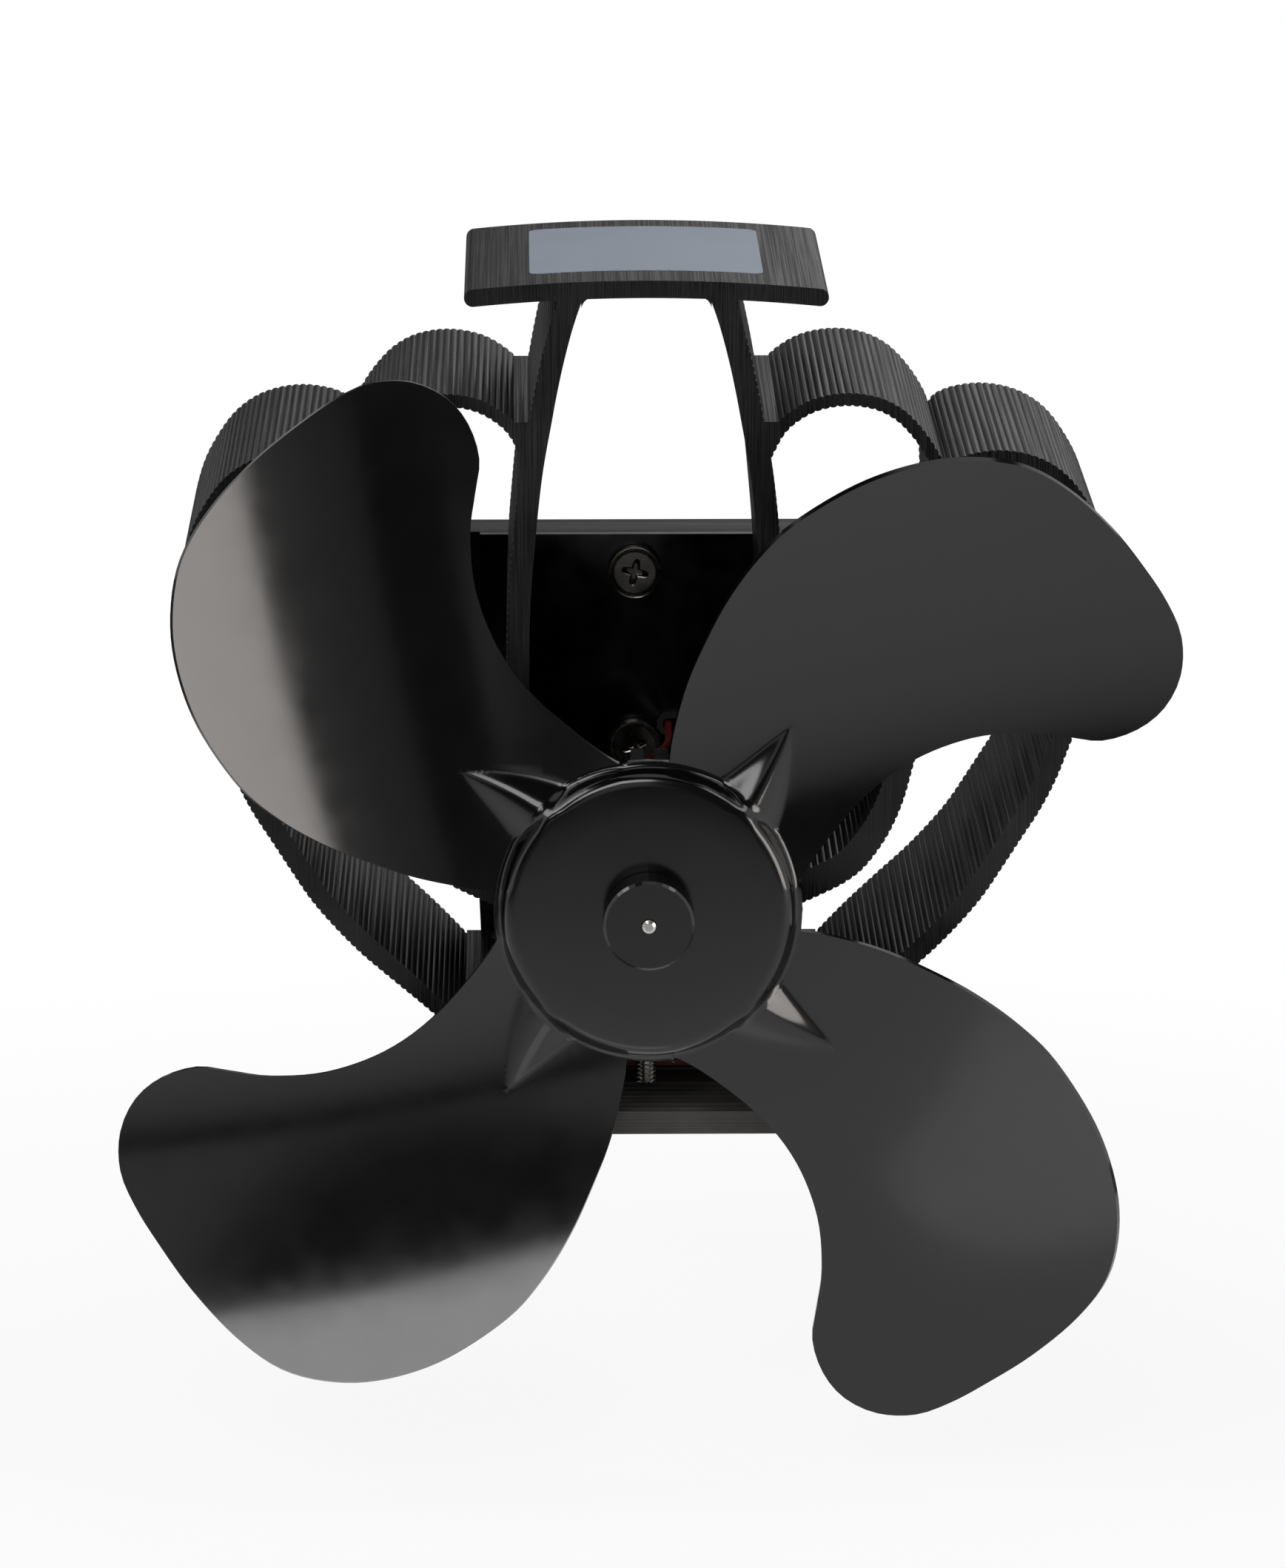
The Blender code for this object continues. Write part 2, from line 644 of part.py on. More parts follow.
def make_rear_block():
    """The block behind the panel, drilled for the screws and channelled for the leads."""
    bottom = LEG_FLOOR_Z - BLOCK_TAIL
    block_outline = [
        (-PANEL_HALF_WIDTH, bottom), (PANEL_HALF_WIDTH, bottom),
        (BLOCK_TOP_HALF_WIDTH, AXIS_Z + PANEL_RISE),
        (-BLOCK_TOP_HALF_WIDTH, AXIS_Z + PANEL_RISE),
    ]
    block = extruded(
        "rear_block", BLACK_ANODISED, "Y",
        [block_outline],
        BLOCK_FRONT_Y, BLOCK_FRONT_Y + BLOCK_DEPTH,
        holes=[
            circle(PANEL_SCREW_X, AXIS_Z + rise, PANEL_SCREW_RADIUS + SEAT_GAP, 20)
            for rise in PANEL_SCREW_RISES
        ],
    )
    half = WIRE_CHANNEL_WIDTH / 2
    channel = rectangle(
        GROMMET_X - half, bottom - OVERRUN, GROMMET_X + half,
        AXIS_Z + GROMMET_RISE + half,
    )
    span = (BLOCK_FRONT_Y - OVERRUN, BLOCK_FRONT_Y + WIRE_CHANNEL_DEPTH)
    cut(block, [cutter(extruded_bmesh("Y", [channel], *span), (0, 0, 0))])


def pan_screw(name, made_of, origin, head_radius, head_height, radius, reach, axis="Y", way=1):
    """A pan-head screw whose head's underside is at the origin and whose shank runs way."""
    rim = head_height * 0.45
    profile = [
        (0, -head_height * way), (head_radius * 0.62, -head_height * way),
        (head_radius * 0.86, -(head_height + rim) / 2 * way), (head_radius, -rim / 2 * way),
        (head_radius, 0), (radius, 0), (radius, reach * way), (0, reach * way),
    ]
    return turned(name, made_of, profile, origin, 16, axis)


def make_panel_screws():
    for name, rise in zip(("panel_screw_lower", "panel_screw_upper"), PANEL_SCREW_RISES):
        origin = (PANEL_SCREW_X, PANEL_FRONT_Y - SEAT_GAP, AXIS_Z + rise)
        pan_screw(name, BLACK_ZINC, origin, PANEL_HEAD_RADIUS, PANEL_HEAD_HEIGHT,
                  PANEL_SCREW_RADIUS, PANEL_SCREW_REACH)


def make_clamp_screws():
    """Each screw draws bracket and heat sink down on the module, on a spring washer."""
    washer_z = LEG_FLOOR_Z + BRACKET_SHEET + SEAT_GAP
    head_z = washer_z + WASHER_THICKNESS + SEAT_GAP
    reach = head_z - BASE_HEIGHT + CLAMP_REACH
    for name, y in (("front", -CLAMP_SCREW_Y), ("rear", CLAMP_SCREW_Y)):
        pan_screw("clamp_screw_" + name, BRIGHT_STEEL, (0, y, head_z), CLAMP_HEAD_RADIUS,
                  CLAMP_HEAD_HEIGHT, CLAMP_SCREW_RADIUS, reach, "Z", -1)
        turned(
            "clamp_washer_" + name, BRIGHT_STEEL,
            tube_profile(CLAMP_SCREW_RADIUS + SEAT_GAP, WASHER_RADIUS, 0, WASHER_THICKNESS),
            (0, y, washer_z), 16, "Z",
        )


# Motor
def on_axis():
    return (0, 0, AXIS_Z)


def make_motor_shell():
    """The drawn steel can with its nose, the nylon cap and the two sintered bushes."""
    inner = MOTOR_RADIUS - CAN_WALL
    bush_seat = BUSH_RADIUS + SEAT_GAP
    can = turned("motor_can", BRIGHT_STEEL, [
        (bush_seat, MOTOR_FRONT_Y - NOSE_LENGTH), (NOSE_RADIUS, MOTOR_FRONT_Y - NOSE_LENGTH),
        (NOSE_RADIUS, MOTOR_FRONT_Y), (MOTOR_RADIUS - CAN_WALL, MOTOR_FRONT_Y),
        (MOTOR_RADIUS, MOTOR_FRONT_Y + CAN_WALL), (MOTOR_RADIUS, CAN_REAR_Y),
        (inner, CAN_REAR_Y), (inner, MOTOR_FRONT_Y + CAN_WALL),
        (bush_seat, MOTOR_FRONT_Y + CAN_WALL),
    ], on_axis(), 32)
    holes = []
    for x in (-MOTOR_SCREW_X, MOTOR_SCREW_X):
        outline = circle(x, 0, MOTOR_SCREW_RADIUS + SEAT_GAP, 12)
        span = (MOTOR_FRONT_Y - OVERRUN, MOTOR_FRONT_Y + CAN_WALL + OVERRUN)
        holes.append(cutter(extruded_bmesh("Y", [outline], *span), on_axis()))
    cut(can, holes)
    slots = [terminal_slot(x) for x in terminal_places()]
    extruded(
        "motor_end_cap", BLACK_NYLON, "Y", [circle(0, 0, MOTOR_RADIUS, 32)],
        CAN_REAR_Y + SEAT_GAP, CAP_REAR_Y, holes=slots + [circle(0, 0, bush_seat)],
        origin=on_axis(),
    )
    bore = SHAFT_RADIUS + RUNNING_GAP
    nose = MOTOR_FRONT_Y - NOSE_LENGTH
    turned("bush_front", BRASS, tube_profile(bore, BUSH_RADIUS, nose, nose + BUSH_LENGTH),
           on_axis(), 24)
    turned("bush_rear", BRASS, tube_profile(bore, BUSH_RADIUS, CAP_REAR_Y - BUSH_LENGTH, CAP_REAR_Y),
           on_axis(), 24)


def arc_band(inner, outer, middle, half_angle, count=12):
    angles = [middle - half_angle + 2 * half_angle * i / count for i in range(count + 1)]
    out = [(outer * math.cos(a), outer * math.sin(a)) for a in angles]
    return out + [(inner * math.cos(a), inner * math.sin(a)) for a in reversed(angles)]


def core_middle_y():
    return MOTOR_FRONT_Y + CAN_WALL + COIL_WALL + CORE_LENGTH / 2 + 3 * SEAT_GAP + OVERRUN


def make_magnets():
    outer = MOTOR_RADIUS - CAN_WALL - SEAT_GAP
    start = MOTOR_FRONT_Y + CAN_WALL + SEAT_GAP
    for name, middle in (("magnet_left", math.pi), ("magnet_right", 0)):
        outline = arc_band(outer - MAGNET_THICKNESS, outer, middle, MAGNET_HALF_ANGLE)
        extruded(name, FERRITE, "Y", [outline], start, start + MAGNET_LENGTH, origin=on_axis())


def turned_outline(outline, angle):
    c, s = math.cos(angle), math.sin(angle)
    return [(x * c - y * s, x * s + y * c) for x, y in outline]


def make_armature():
    """A three-pole core on the shaft, one coil on each pole, and the commutator."""
    poles = [math.pi / 2 + math.tau * i / 3 for i in range(3)]
    shoe_inner = CORE_RADIUS - POLE_THICKNESS
    solids = [circle(0, 0, CORE_HUB_RADIUS, 24)]
    for angle in poles:
        solids.append(arc_band(shoe_inner, CORE_RADIUS, angle, POLE_HALF_ANGLE, 10))
        stem = rectangle(0, -STEM_HALF_WIDTH, CORE_RADIUS - POLE_THICKNESS / 2, STEM_HALF_WIDTH)
        solids.append(turned_outline(stem, angle))
    middle = core_middle_y()
    start, end = middle - CORE_LENGTH / 2, middle + CORE_LENGTH / 2
    seat = SHAFT_RADIUS + RUNNING_GAP
    extruded("armature_core", FERRITE, "Y", solids, start, end, holes=[circle(0, 0, seat)],
             origin=on_axis())
    inside = STEM_HALF_WIDTH + SEAT_GAP
    window = (inside, CORE_LENGTH / 2 + SEAT_GAP)
    outside = (inside + COIL_WALL, window[1] + COIL_WALL)
    near = CORE_HUB_RADIUS + SEAT_GAP
    far = (shoe_inner - SEAT_GAP) * math.cos(POLE_HALF_ANGLE / 2)
    for i, angle in enumerate(poles):
        bm = extruded_bmesh(
            "X", [rectangle(-outside[1], -outside[0], outside[1], outside[0])], near, far,
            holes=[rectangle(-window[1], -window[0], window[1], window[0])],
        )
        coil = finish(f"coil_{i + 1}", bm, COPPER, (0, middle, AXIS_Z))
        coil.rotation_euler = (0, -angle, 0)
    turned(
        "commutator", BRASS,
        tube_profile(seat, COMMUTATOR_RADIUS, commutator_y(), commutator_y() + COMMUTATOR_LENGTH),
        on_axis(), 24,
    )


def commutator_y():
    return core_middle_y() + CORE_LENGTH / 2 + COIL_WALL + 2 * SEAT_GAP


def terminal_places():
    return (TERMINAL_X - TERMINAL_SPREAD, TERMINAL_X + TERMINAL_SPREAD)


def terminal_slot(x):
    """The slot in the end cap that a terminal comes out of."""
    half = TERMINAL_WIDTH / 2 + SEAT_GAP
    return rectangle(x - half, TERMINAL_RISE - SEAT_GAP, x + half,
                     TERMINAL_RISE + TERMINAL_THICKNESS + SEAT_GAP)


def make_terminal(name, x, side, start, end):
    """A brass strip: up from its brush, out through the cap, and bent up as a solder tab."""
    out = COMMUTATOR_RADIUS + 2 * SEAT_GAP + BRUSH_LENGTH
    half = BRUSH_SIZE / 2
    top = TERMINAL_RISE + TERMINAL_THICKNESS
    line = [(side * out, -half), (side * out, TERMINAL_RISE / 2), (x, top)]
    arm = band([Vector(p) for p in line], [side * TERMINAL_THICKNESS] * len(line))
    terminal = extruded("terminal_" + name, BRASS, "Y", [arm], start, end, origin=on_axis())
    near, far = x - TERMINAL_WIDTH / 2, x + TERMINAL_WIDTH / 2
    tab_y = CAP_REAR_Y + SEAT_GAP
    strip = extruded_bmesh("Y", [rectangle(near, TERMINAL_RISE, far, top)], start, tab_y)
    tab = extruded_bmesh(
        "Y", [rectangle(near, TERMINAL_RISE, far, TERMINAL_RISE + TAB_HEIGHT)],
        tab_y - TERMINAL_THICKNESS / 4, tab_y + TERMINAL_THICKNESS,
    )
    cut(terminal, [cutter(strip, on_axis()), cutter(tab, on_axis())], "UNION")


def make_brushes():
    """Carbon brushes on the commutator, each held by the strip that is also its terminal."""
    middle_y = commutator_y() + COMMUTATOR_LENGTH / 2
    half = BRUSH_SIZE / 2
    for name, side, x in zip(("left", "right"), (-1, 1), terminal_places()):
        near = side * (COMMUTATOR_RADIUS + SEAT_GAP)
        far = near + side * BRUSH_LENGTH
        outline = rectangle(min(near, far), -half, max(near, far), half)
        extruded("brush_" + name, CARBON, "Y", [outline], middle_y - half, middle_y + half,
                 origin=on_axis())
        make_terminal(name, x, side, middle_y - half, middle_y + half)


def make_motor_screws():
    front = MOTOR_FRONT_Y - SEAT_GAP - BRACKET_SHEET - SEAT_GAP
    reach = MOTOR_FRONT_Y + CAN_WALL - front
    for name, x in (("left", -MOTOR_SCREW_X), ("right", MOTOR_SCREW_X)):
        pan_screw("motor_screw_" + name, BRIGHT_STEEL, (x, front, AXIS_Z),
                  MOTOR_SCREW_HEAD_RADIUS, MOTOR_SCREW_HEAD_HEIGHT, MOTOR_SCREW_RADIUS, reach)


# Rotor outside the motor
def make_shaft_and_hub():
    """The shaft, the turned boss in front of the dome, and the ring that holds it behind."""
    turned("motor_shaft", BRIGHT_STEEL, [
        (0, BOSS_FRONT_Y - SHAFT_TIP), (SHAFT_RADIUS * 0.6, BOSS_FRONT_Y - SHAFT_TIP),
        (SHAFT_RADIUS, BOSS_FRONT_Y - SHAFT_TIP / 2), (SHAFT_RADIUS, CAP_REAR_Y - SEAT_GAP),
        (0, CAP_REAR_Y - SEAT_GAP),
    ], on_axis(), 24)
    bore = SHAFT_RADIUS + RUNNING_GAP
    shoulder = BOSS_FRONT_Y + BOSS_LENGTH
    ring_y = DOME_FACE_Y + DOME_CROWN * (RING_RADIUS / DOME_RADIUS) ** 2 + SHEET + SEAT_GAP
    turned("hub_boss", BLACK_PAINT, [
        (bore, BOSS_FRONT_Y), (BOSS_RADIUS - BOSS_CHAMFER, BOSS_FRONT_Y),
        (BOSS_RADIUS, BOSS_FRONT_Y + BOSS_CHAMFER), (BOSS_RADIUS, shoulder),
        (NECK_RADIUS, shoulder), (NECK_RADIUS, ring_y + RING_THICKNESS),
        (bore, ring_y + RING_THICKNESS),
    ], on_axis(), 40)
    turned("hub_ring", BRIGHT_STEEL,
           tube_profile(NECK_RADIUS + SEAT_GAP, RING_RADIUS, ring_y, ring_y + RING_THICKNESS),
           on_axis(), 24)


def blade_outline():
    """One blade's outline in X and Z about the axis: a smooth line through its shares,
    closed by an arc that lies on the flange."""
    root = (DOME_RADIUS + FLANGE_RADIUS) / 2 / FAN_RADIUS
    first, last = BLADE_ROOT_DEGREES
    shares = [(root, first), *BLADE_OUTLINE_SHARES, (root, last)]
    arc = [(root, last + (first - last) * i / 12) for i in range(1, 12)]

    def spot(radius, degrees):
        angle = BLADE_AXIS + math.radians(degrees)
        return FAN_RADIUS * radius * math.sin(angle), FAN_RADIUS * radius * math.cos(angle)

    free = smooth_line([spot(*share) for share in shares], FAN_RADIUS / 22)
    return [tuple(p) for p in free] + [spot(*share) for share in arc]


def blade_form(x, z):
    """How far behind its mean plane the blade lies at a place, from pitch, dish and rake."""
    reach = (x * math.sin(BLADE_AXIS) + z * math.cos(BLADE_AXIS)) / FAN_RADIUS
    across = (x * math.cos(BLADE_AXIS) - z * math.sin(BLADE_AXIS)) / FAN_RADIUS
    pitch = PITCH_SHARES[0] + PITCH_SHARES[1] * reach + PITCH_SHARES[2] * reach**2
    rake = RAKE_SHARES[0] * reach + RAKE_SHARES[1] * reach**2
    return FAN_RADIUS * (pitch * across + DISH_SHARE * across**2 + rake)


def dart_share(x, z):
    """How far along its dart a place is, and how far aside of the dart's middle line."""
    radius, angle = math.hypot(x, z), math.atan2(x, z)
    share = (radius - DART_START) / (DART_REACH - DART_START)
    middle = DART_AXIS + DART_SKEW * (1 - share)
    turn = (angle - middle + math.pi / BLADE_COUNT) % (math.tau / BLADE_COUNT)
    return share, (turn - math.pi / BLADE_COUNT) * radius


def pressed_height(x, z):
    """How far the dome, or one of the darts that carry its level outwards, stands proud."""
    radius = math.hypot(x, z)
    dome = eased(1, 0, (radius - DART_START) / DOME_WALL)
    share, aside = dart_share(x, z)
    if radius <= DART_START or share >= 1:
        return DOME_DEPTH * dome
    half = DART_HALF_WIDTH * (1 - share)
    return DOME_DEPTH * max(dome, (1 - share) * eased(1, 0, abs(aside) / half))


def sheet_y(x, z):
    """The front face of the pressed sheet: the dome and its darts over flange and blades."""
    radius, angle = math.hypot(x, z), math.atan2(x, z)
    crown = DOME_CROWN * max(0, 1 - (radius / DOME_RADIUS) ** 2)
    turns = round((angle - BLADE_AXIS) / (math.tau / BLADE_COUNT))
    back = -turns * math.tau / BLADE_COUNT
    local_x = x * math.cos(back) + z * math.sin(back)
    local_z = -x * math.sin(back) + z * math.cos(back)
    share = eased(0, 1, (radius - BLEND_START) / (BLEND_END - BLEND_START))
    form = blade_form(local_x, local_z) - BLADE_OFFSET
    return ROOT_Y + share * form - pressed_height(x, z) - crown


def inside(point, outline, margin):
    """Whether a point lies in an outline, at least margin from its edge."""
    x, z = point
    odd = False
    for (ax, az), (bx, bz) in zip(outline, outline[1:] + outline[:1]):
        if (az > z) != (bz > z) and x < ax + (z - az) * (bx - ax) / (bz - az):
            odd = not odd
        length = math.hypot(bx - ax, bz - az) or WELD
        t = ((x - ax) * (bx - ax) + (z - az) * (bz - az)) / length**2
        t = min(1, max(0, t))
        if math.hypot(x - ax - t * (bx - ax), z - az - t * (bz - az)) < margin:
            return False
    return odd


def near_dart(x, z, margin):
    share, aside = dart_share(x, z)
    room = margin / (DART_REACH - DART_START)
    return -room < share < 1 + room and abs(aside) < DART_HALF_WIDTH * (1 - share) + margin


def dart_points():
    """Points along each dart's ridge, flanks and edges, for the sheet to fold at."""
    points = []
    for i in range(BLADE_COUNT):
        for share in (0, 0.15, 0.3, 0.45, 0.6, 0.75, 0.9, 1):
            middle = DART_AXIS + DART_SKEW * (1 - share) + math.tau * i / BLADE_COUNT
            radius = DART_START + (DART_REACH - DART_START) * share
            half = DART_HALF_WIDTH * (1 - share)
            for across in (-1, -0.66, -0.33, 0, 0.33, 0.66, 1) if share < 0.95 else (0,):
                angle = middle + half * across / radius
                points.append(Vector((radius * math.sin(angle), radius * math.cos(angle))))
    return points


def make_fan_blades():
    """Dome, flange, darts and four blades pressed from one sheet, given its thickness."""
    blades = []
    outline = blade_outline()
    for i in range(BLADE_COUNT):
        blades.append(turned_outline(outline, -math.tau * i / BLADE_COUNT))
    hub = circle(0, 0, FLANGE_RADIUS, 72)
    hole = circle(0, 0, DOME_HOLE_RADIUS, 24)
    points, faces = [], []
    for ring in [hub, hole] + blades:
        faces.append(list(range(len(points), len(points) + len(ring))))
        points += [Vector(p) for p in anticlockwise(ring)]
    spacing = FAN_RADIUS / 12
    for share in (0, 0.25, 0.5, 0.75, 1):
        ring = circle(0, 0, DART_START + DOME_WALL * share, 60)
        points += [Vector(p) for p in ring if not near_dart(*p, spacing / 12)]
    radius = FLANGE_RADIUS + spacing / 4
    while radius < FAN_RADIUS:
        for p in circle(0, 0, radius, 60):
            if near_dart(*p, spacing / 6):
                continue
            if any(inside(p, blade, spacing / 5) for blade in blades):
                points.append(Vector(p))
        radius += spacing / 2 if radius < BLEND_END else spacing
    points += dart_points()
    found = delaunay_2d_cdt(points, [], faces, 1, WELD)
    bm = bmesh.new()
    verts = [bm.verts.new((p.x, sheet_y(p.x, p.y), p.y)) for p in found[0]]
    for triangle, sources in zip(found[2], found[5]):
        if sources and 1 not in sources:
            bm.faces.new([verts[i] for i in triangle])
    bmesh.ops.delete(bm, geom=[v for v in verts if not v.link_faces], context="VERTS")
    sheet = finish("fan_blades", bm, BLACK_PAINT, on_axis(), 40)
    if sum(face.normal.y for face in sheet.data.polygons) > 0:
        sheet.data.flip_normals()
    solid = sheet.modifiers.new("solidify", "SOLIDIFY")
    solid.thickness = SHEET
    solid.offset = -1


# Leads
def lead_route(side):
    """A lead's way: out of the module, up the rear block's channel, through the grommet
    and forward to its motor terminal. side is -1 for the left lead and 1 for the right."""
    x = GROMMET_X + side * LEAD_HALF_SPREAD
    channel_y = BLOCK_FRONT_Y + WIRE_CHANNEL_DEPTH / 2
    module_z = (BASE_HEIGHT + PLATE_Z) / 2
    module_y = MODULE_SIDE / 2 + SEAT_GAP
    grommet_z = AXIS_Z + GROMMET_RISE
    tail = terminal_places()[0 if side < 0 else 1]
    tail_y = CAP_REAR_Y + TERMINAL_THICKNESS + 2 * SEAT_GAP
    tail_z = AXIS_Z + TERMINAL_RISE + TAB_HEIGHT / 2
    bend = WIRE_CHANNEL_WIDTH
    turn = channel_y - PANEL_BACK_Y
    lip_y = PANEL_FRONT_Y - SEAT_GAP - GROMMET_LIP_THICKNESS
    run = channel_y - module_y
    return [
        (x, module_y, module_z), (x, module_y + run / 3, module_z),
        (x, module_y + 2 * run / 3, module_z), (x, channel_y - bend / 4, module_z + bend / 5),
        (x, channel_y, module_z + bend), (x, channel_y, (module_z + grommet_z) / 2),
        (x, channel_y, grommet_z - turn), (x, channel_y - turn / 3, grommet_z - turn / 3),
        (x, PANEL_BACK_Y, grommet_z), (x, lip_y - SEAT_GAP, grommet_z),
        (x, lip_y - bend, grommet_z - LEAD_SAG),
        ((x + tail) / 2, (lip_y + tail_y) / 2, grommet_z - LEAD_SAG),
        (tail, tail_y + bend, tail_z), (tail, tail_y, tail_z),
    ]


def make_lead(name, made_of, side):
    curve = bpy.data.curves.new(name, "CURVE")
    curve.dimensions = "3D"
    curve.bevel_depth = LEAD_RADIUS
    curve.bevel_resolution = 2
    curve.use_fill_caps = True
    route = smooth_line(lead_route(side), LEAD_RADIUS * 8)
    spline = curve.splines.new("POLY")
    spline.points.add(len(route) - 1)
    for point, place_on_route in zip(spline.points, route):
        point.co = (*place_on_route, 1)
    curve.materials.append(made_of)
    made = bpy.data.objects.new(name, curve)
    bpy.context.scene.collection.objects.link(made)


def make_grommet():
    """The rubber grommet in the panel: a lip in front, and a neck through the hole."""
    neck = oblong(0, 0, GROMMET_HALF_WIDTH, GROMMET_HALF_HEIGHT)
    bore = oblong(0, 0, LEAD_HALF_SPREAD + LEAD_RADIUS + SEAT_GAP, LEAD_RADIUS + SEAT_GAP)
    lip = oblong(0, 0, GROMMET_HALF_WIDTH + GROMMET_LIP, GROMMET_HALF_HEIGHT + GROMMET_LIP)
    origin = (GROMMET_X, 0, AXIS_Z + GROMMET_RISE)
    front = PANEL_FRONT_Y - SEAT_GAP
    grommet = extruded("lead_grommet", BLACK_RUBBER, "Y", [neck], front - GROMMET_LIP_THICKNESS / 2,
                       PANEL_BACK_Y, holes=[bore], origin=origin)
    lip_body = extruded_bmesh("Y", [lip], front - GROMMET_LIP_THICKNESS, front, holes=[bore])
    cut(grommet, [cutter(lip_body, origin)], "UNION")


make_heat_sink()
make_base()
make_module()
make_bracket()
make_rear_block()
make_panel_screws()
make_clamp_screws()
make_motor_shell()
make_magnets()
make_armature()
make_brushes()
make_motor_screws()
make_shaft_and_hub()
make_fan_blades()
make_lead("lead_red", RED_SILICONE, -1)
make_lead("lead_black", BLACK_RUBBER, 1)
make_grommet()
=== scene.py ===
# %% [markdown]
# A stove fan, dressed for its picture
#
# A heat-powered stove fan has no plug. Its base stands on a hot stove, a thermoelectric
# module between the base and the heat sink turns the heat into a little current, and a
# small motor spins four blades pressed from one sheet. The CAD model already holds every
# piece at its real size. This script loads it as a fixed frame and gives it the things
# that only show from close by: the fine ribs of the heat sink, the rolled edge of the
# blades, screw recesses and threads, and finishes made with nodes.

# %% Load the frame
import json
import math

import bmesh
import bpy
from mathutils import Matrix, Vector
from mathutils.geometry import delaunay_2d_cdt


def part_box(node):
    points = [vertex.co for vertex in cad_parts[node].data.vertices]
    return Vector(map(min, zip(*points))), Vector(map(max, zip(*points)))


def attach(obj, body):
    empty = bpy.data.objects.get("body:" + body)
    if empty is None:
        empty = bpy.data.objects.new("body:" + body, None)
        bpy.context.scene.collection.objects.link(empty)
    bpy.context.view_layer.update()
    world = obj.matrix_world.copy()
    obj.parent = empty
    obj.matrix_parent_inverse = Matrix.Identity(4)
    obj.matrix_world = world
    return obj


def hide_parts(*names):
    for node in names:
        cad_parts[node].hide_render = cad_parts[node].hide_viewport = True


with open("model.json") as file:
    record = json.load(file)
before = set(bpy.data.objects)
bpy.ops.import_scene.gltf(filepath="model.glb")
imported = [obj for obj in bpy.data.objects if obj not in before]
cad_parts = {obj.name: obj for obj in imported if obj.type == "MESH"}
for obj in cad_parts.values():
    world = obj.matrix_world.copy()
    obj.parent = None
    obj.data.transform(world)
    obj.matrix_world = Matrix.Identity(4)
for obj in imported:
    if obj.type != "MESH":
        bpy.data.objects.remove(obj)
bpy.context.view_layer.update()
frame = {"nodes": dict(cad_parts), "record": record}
NODES = frame["nodes"]
MM = 0.001

# %% [markdown]
# The camera
#
# The photograph looks down on the fan by about twelve degrees from far away, which keeps
# its lines nearly parallel. A long lens from 1.2 metres gives the same look. The fan's axis
# is the natural place to measure from, so its height comes from the CAD boss.

# %% Camera
low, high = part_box("hub_boss")
AXIS_Z = (low.z + high.z) / 2
BOSS_FRONT = low.y
CAMERA_PLACE = Vector((-17.89, -1212.61, 292.42)) * MM + Vector((0, BOSS_FRONT, AXIS_Z))
CAMERA_DOWN = math.radians(12.6)
CAMERA_TURN = math.radians(-0.8)

camera = bpy.data.objects.new("camera", bpy.data.cameras.new("camera"))
camera.location = CAMERA_PLACE
camera.rotation_euler = (math.pi / 2 - CAMERA_DOWN, 0, CAMERA_TURN)
camera.data.sensor_fit = "VERTICAL"
camera.data.sensor_height = 36
camera.data.lens = 196.1
camera.data.clip_start = 0.01
bpy.context.scene.collection.objects.link(camera)
bpy.context.scene.camera = camera
print("fan axis at", round(AXIS_Z / MM, 2), "mm, lens", camera.data.lens)

# %% [markdown]
# Colours and nodes
#
# Colours are easiest to read as the hex codes of a paint program, but a shader wants them
# linear, so one function converts them. A second small helper adds a node, sets its
# inputs and links it, which keeps each material to a few readable lines.

# %% Helpers for materials


def colour(hex_code):
    """A hex colour as the linear RGBA that shaders take."""
    parts = [int(hex_code[i : i + 2], 16) / 255 for i in (1, 3, 5)]
    return [p / 12.92 if p < 0.04045 else ((p + 0.055) / 1.055) ** 2.4 for p in parts] + [1]


def add(tree, kind, settings=None, **inputs):
    """Adds a node. settings are its own values; inputs are values or sockets to link."""
    node = tree.nodes.new("ShaderNode" + kind)
    for name, value in (settings or {}).items():
        setattr(node, name, value)
    for name, value in inputs.items():
        socket = node.inputs[int(name[1:]) if name[0] == "_" else name.replace("_", " ")]
        if isinstance(value, bpy.types.NodeSocket):
            tree.links.new(value, socket)
        else:
            socket.default_value = value
    return node


def new_material(name):
    """A material with its Principled shader and the object's own coordinates."""
    made = bpy.data.materials.new(name)
    made.use_nodes = True
    tree = made.node_tree
    return made, tree, tree.nodes["Principled BSDF"], add(tree, "TexCoord").outputs["Object"]


def grain(tree, place, sizes, detail=3):
    """Noise whose blobs are about sizes (in mm) along X, Y and Z."""
    scale = [1 / (size * MM) for size in sizes]
    spot = add(tree, "Mapping", Vector=place, Scale=scale)
    noise = add(tree, "TexNoise", Vector=spot.outputs[0], Scale=1.0, Detail=detail)
    return noise.outputs["Fac"]


def ramp(tree, value, low_end, high_end, low_from=0.3, high_from=0.7):
    """Stretches a value from one range to another."""
    node = add(tree, "MapRange", Value=value)
    ends = zip(("From Min", "From Max", "To Min", "To Max"),
               (low_from, high_from, low_end, high_end))
    for name, end in ends:
        node.inputs[name].default_value = end
    return node.outputs[0]


def tint(tree, value, dark, light):
    """A colour between two hex colours, by a value from 0 to 1."""
    node = add(tree, "Mix", {"data_type": "RGBA"}, _0=value)
    node.inputs[6].default_value = colour(dark)
    node.inputs[7].default_value = colour(light)
    return node.outputs[2]


def wear(tree, shader, height, depth):
    """Bump of a real depth in mm."""
    bump = add(tree, "Bump", Height=height, Strength=1.0, Distance=depth * MM)
    tree.links.new(bump.outputs[0], shader.inputs["Normal"])


print("mid grey in linear light:", round(colour("#808080")[0], 3))

# %% [markdown]
# The blades' paint
#
# Blades like these are sprayed satin black and baked. The colour is nearly plain black. What
# the eye reads as grey is the room in the paint's skin, so the skin matters most: a low
# roughness that drifts a little, and the faint orange peel that spraying leaves.

# %% Satin black paint


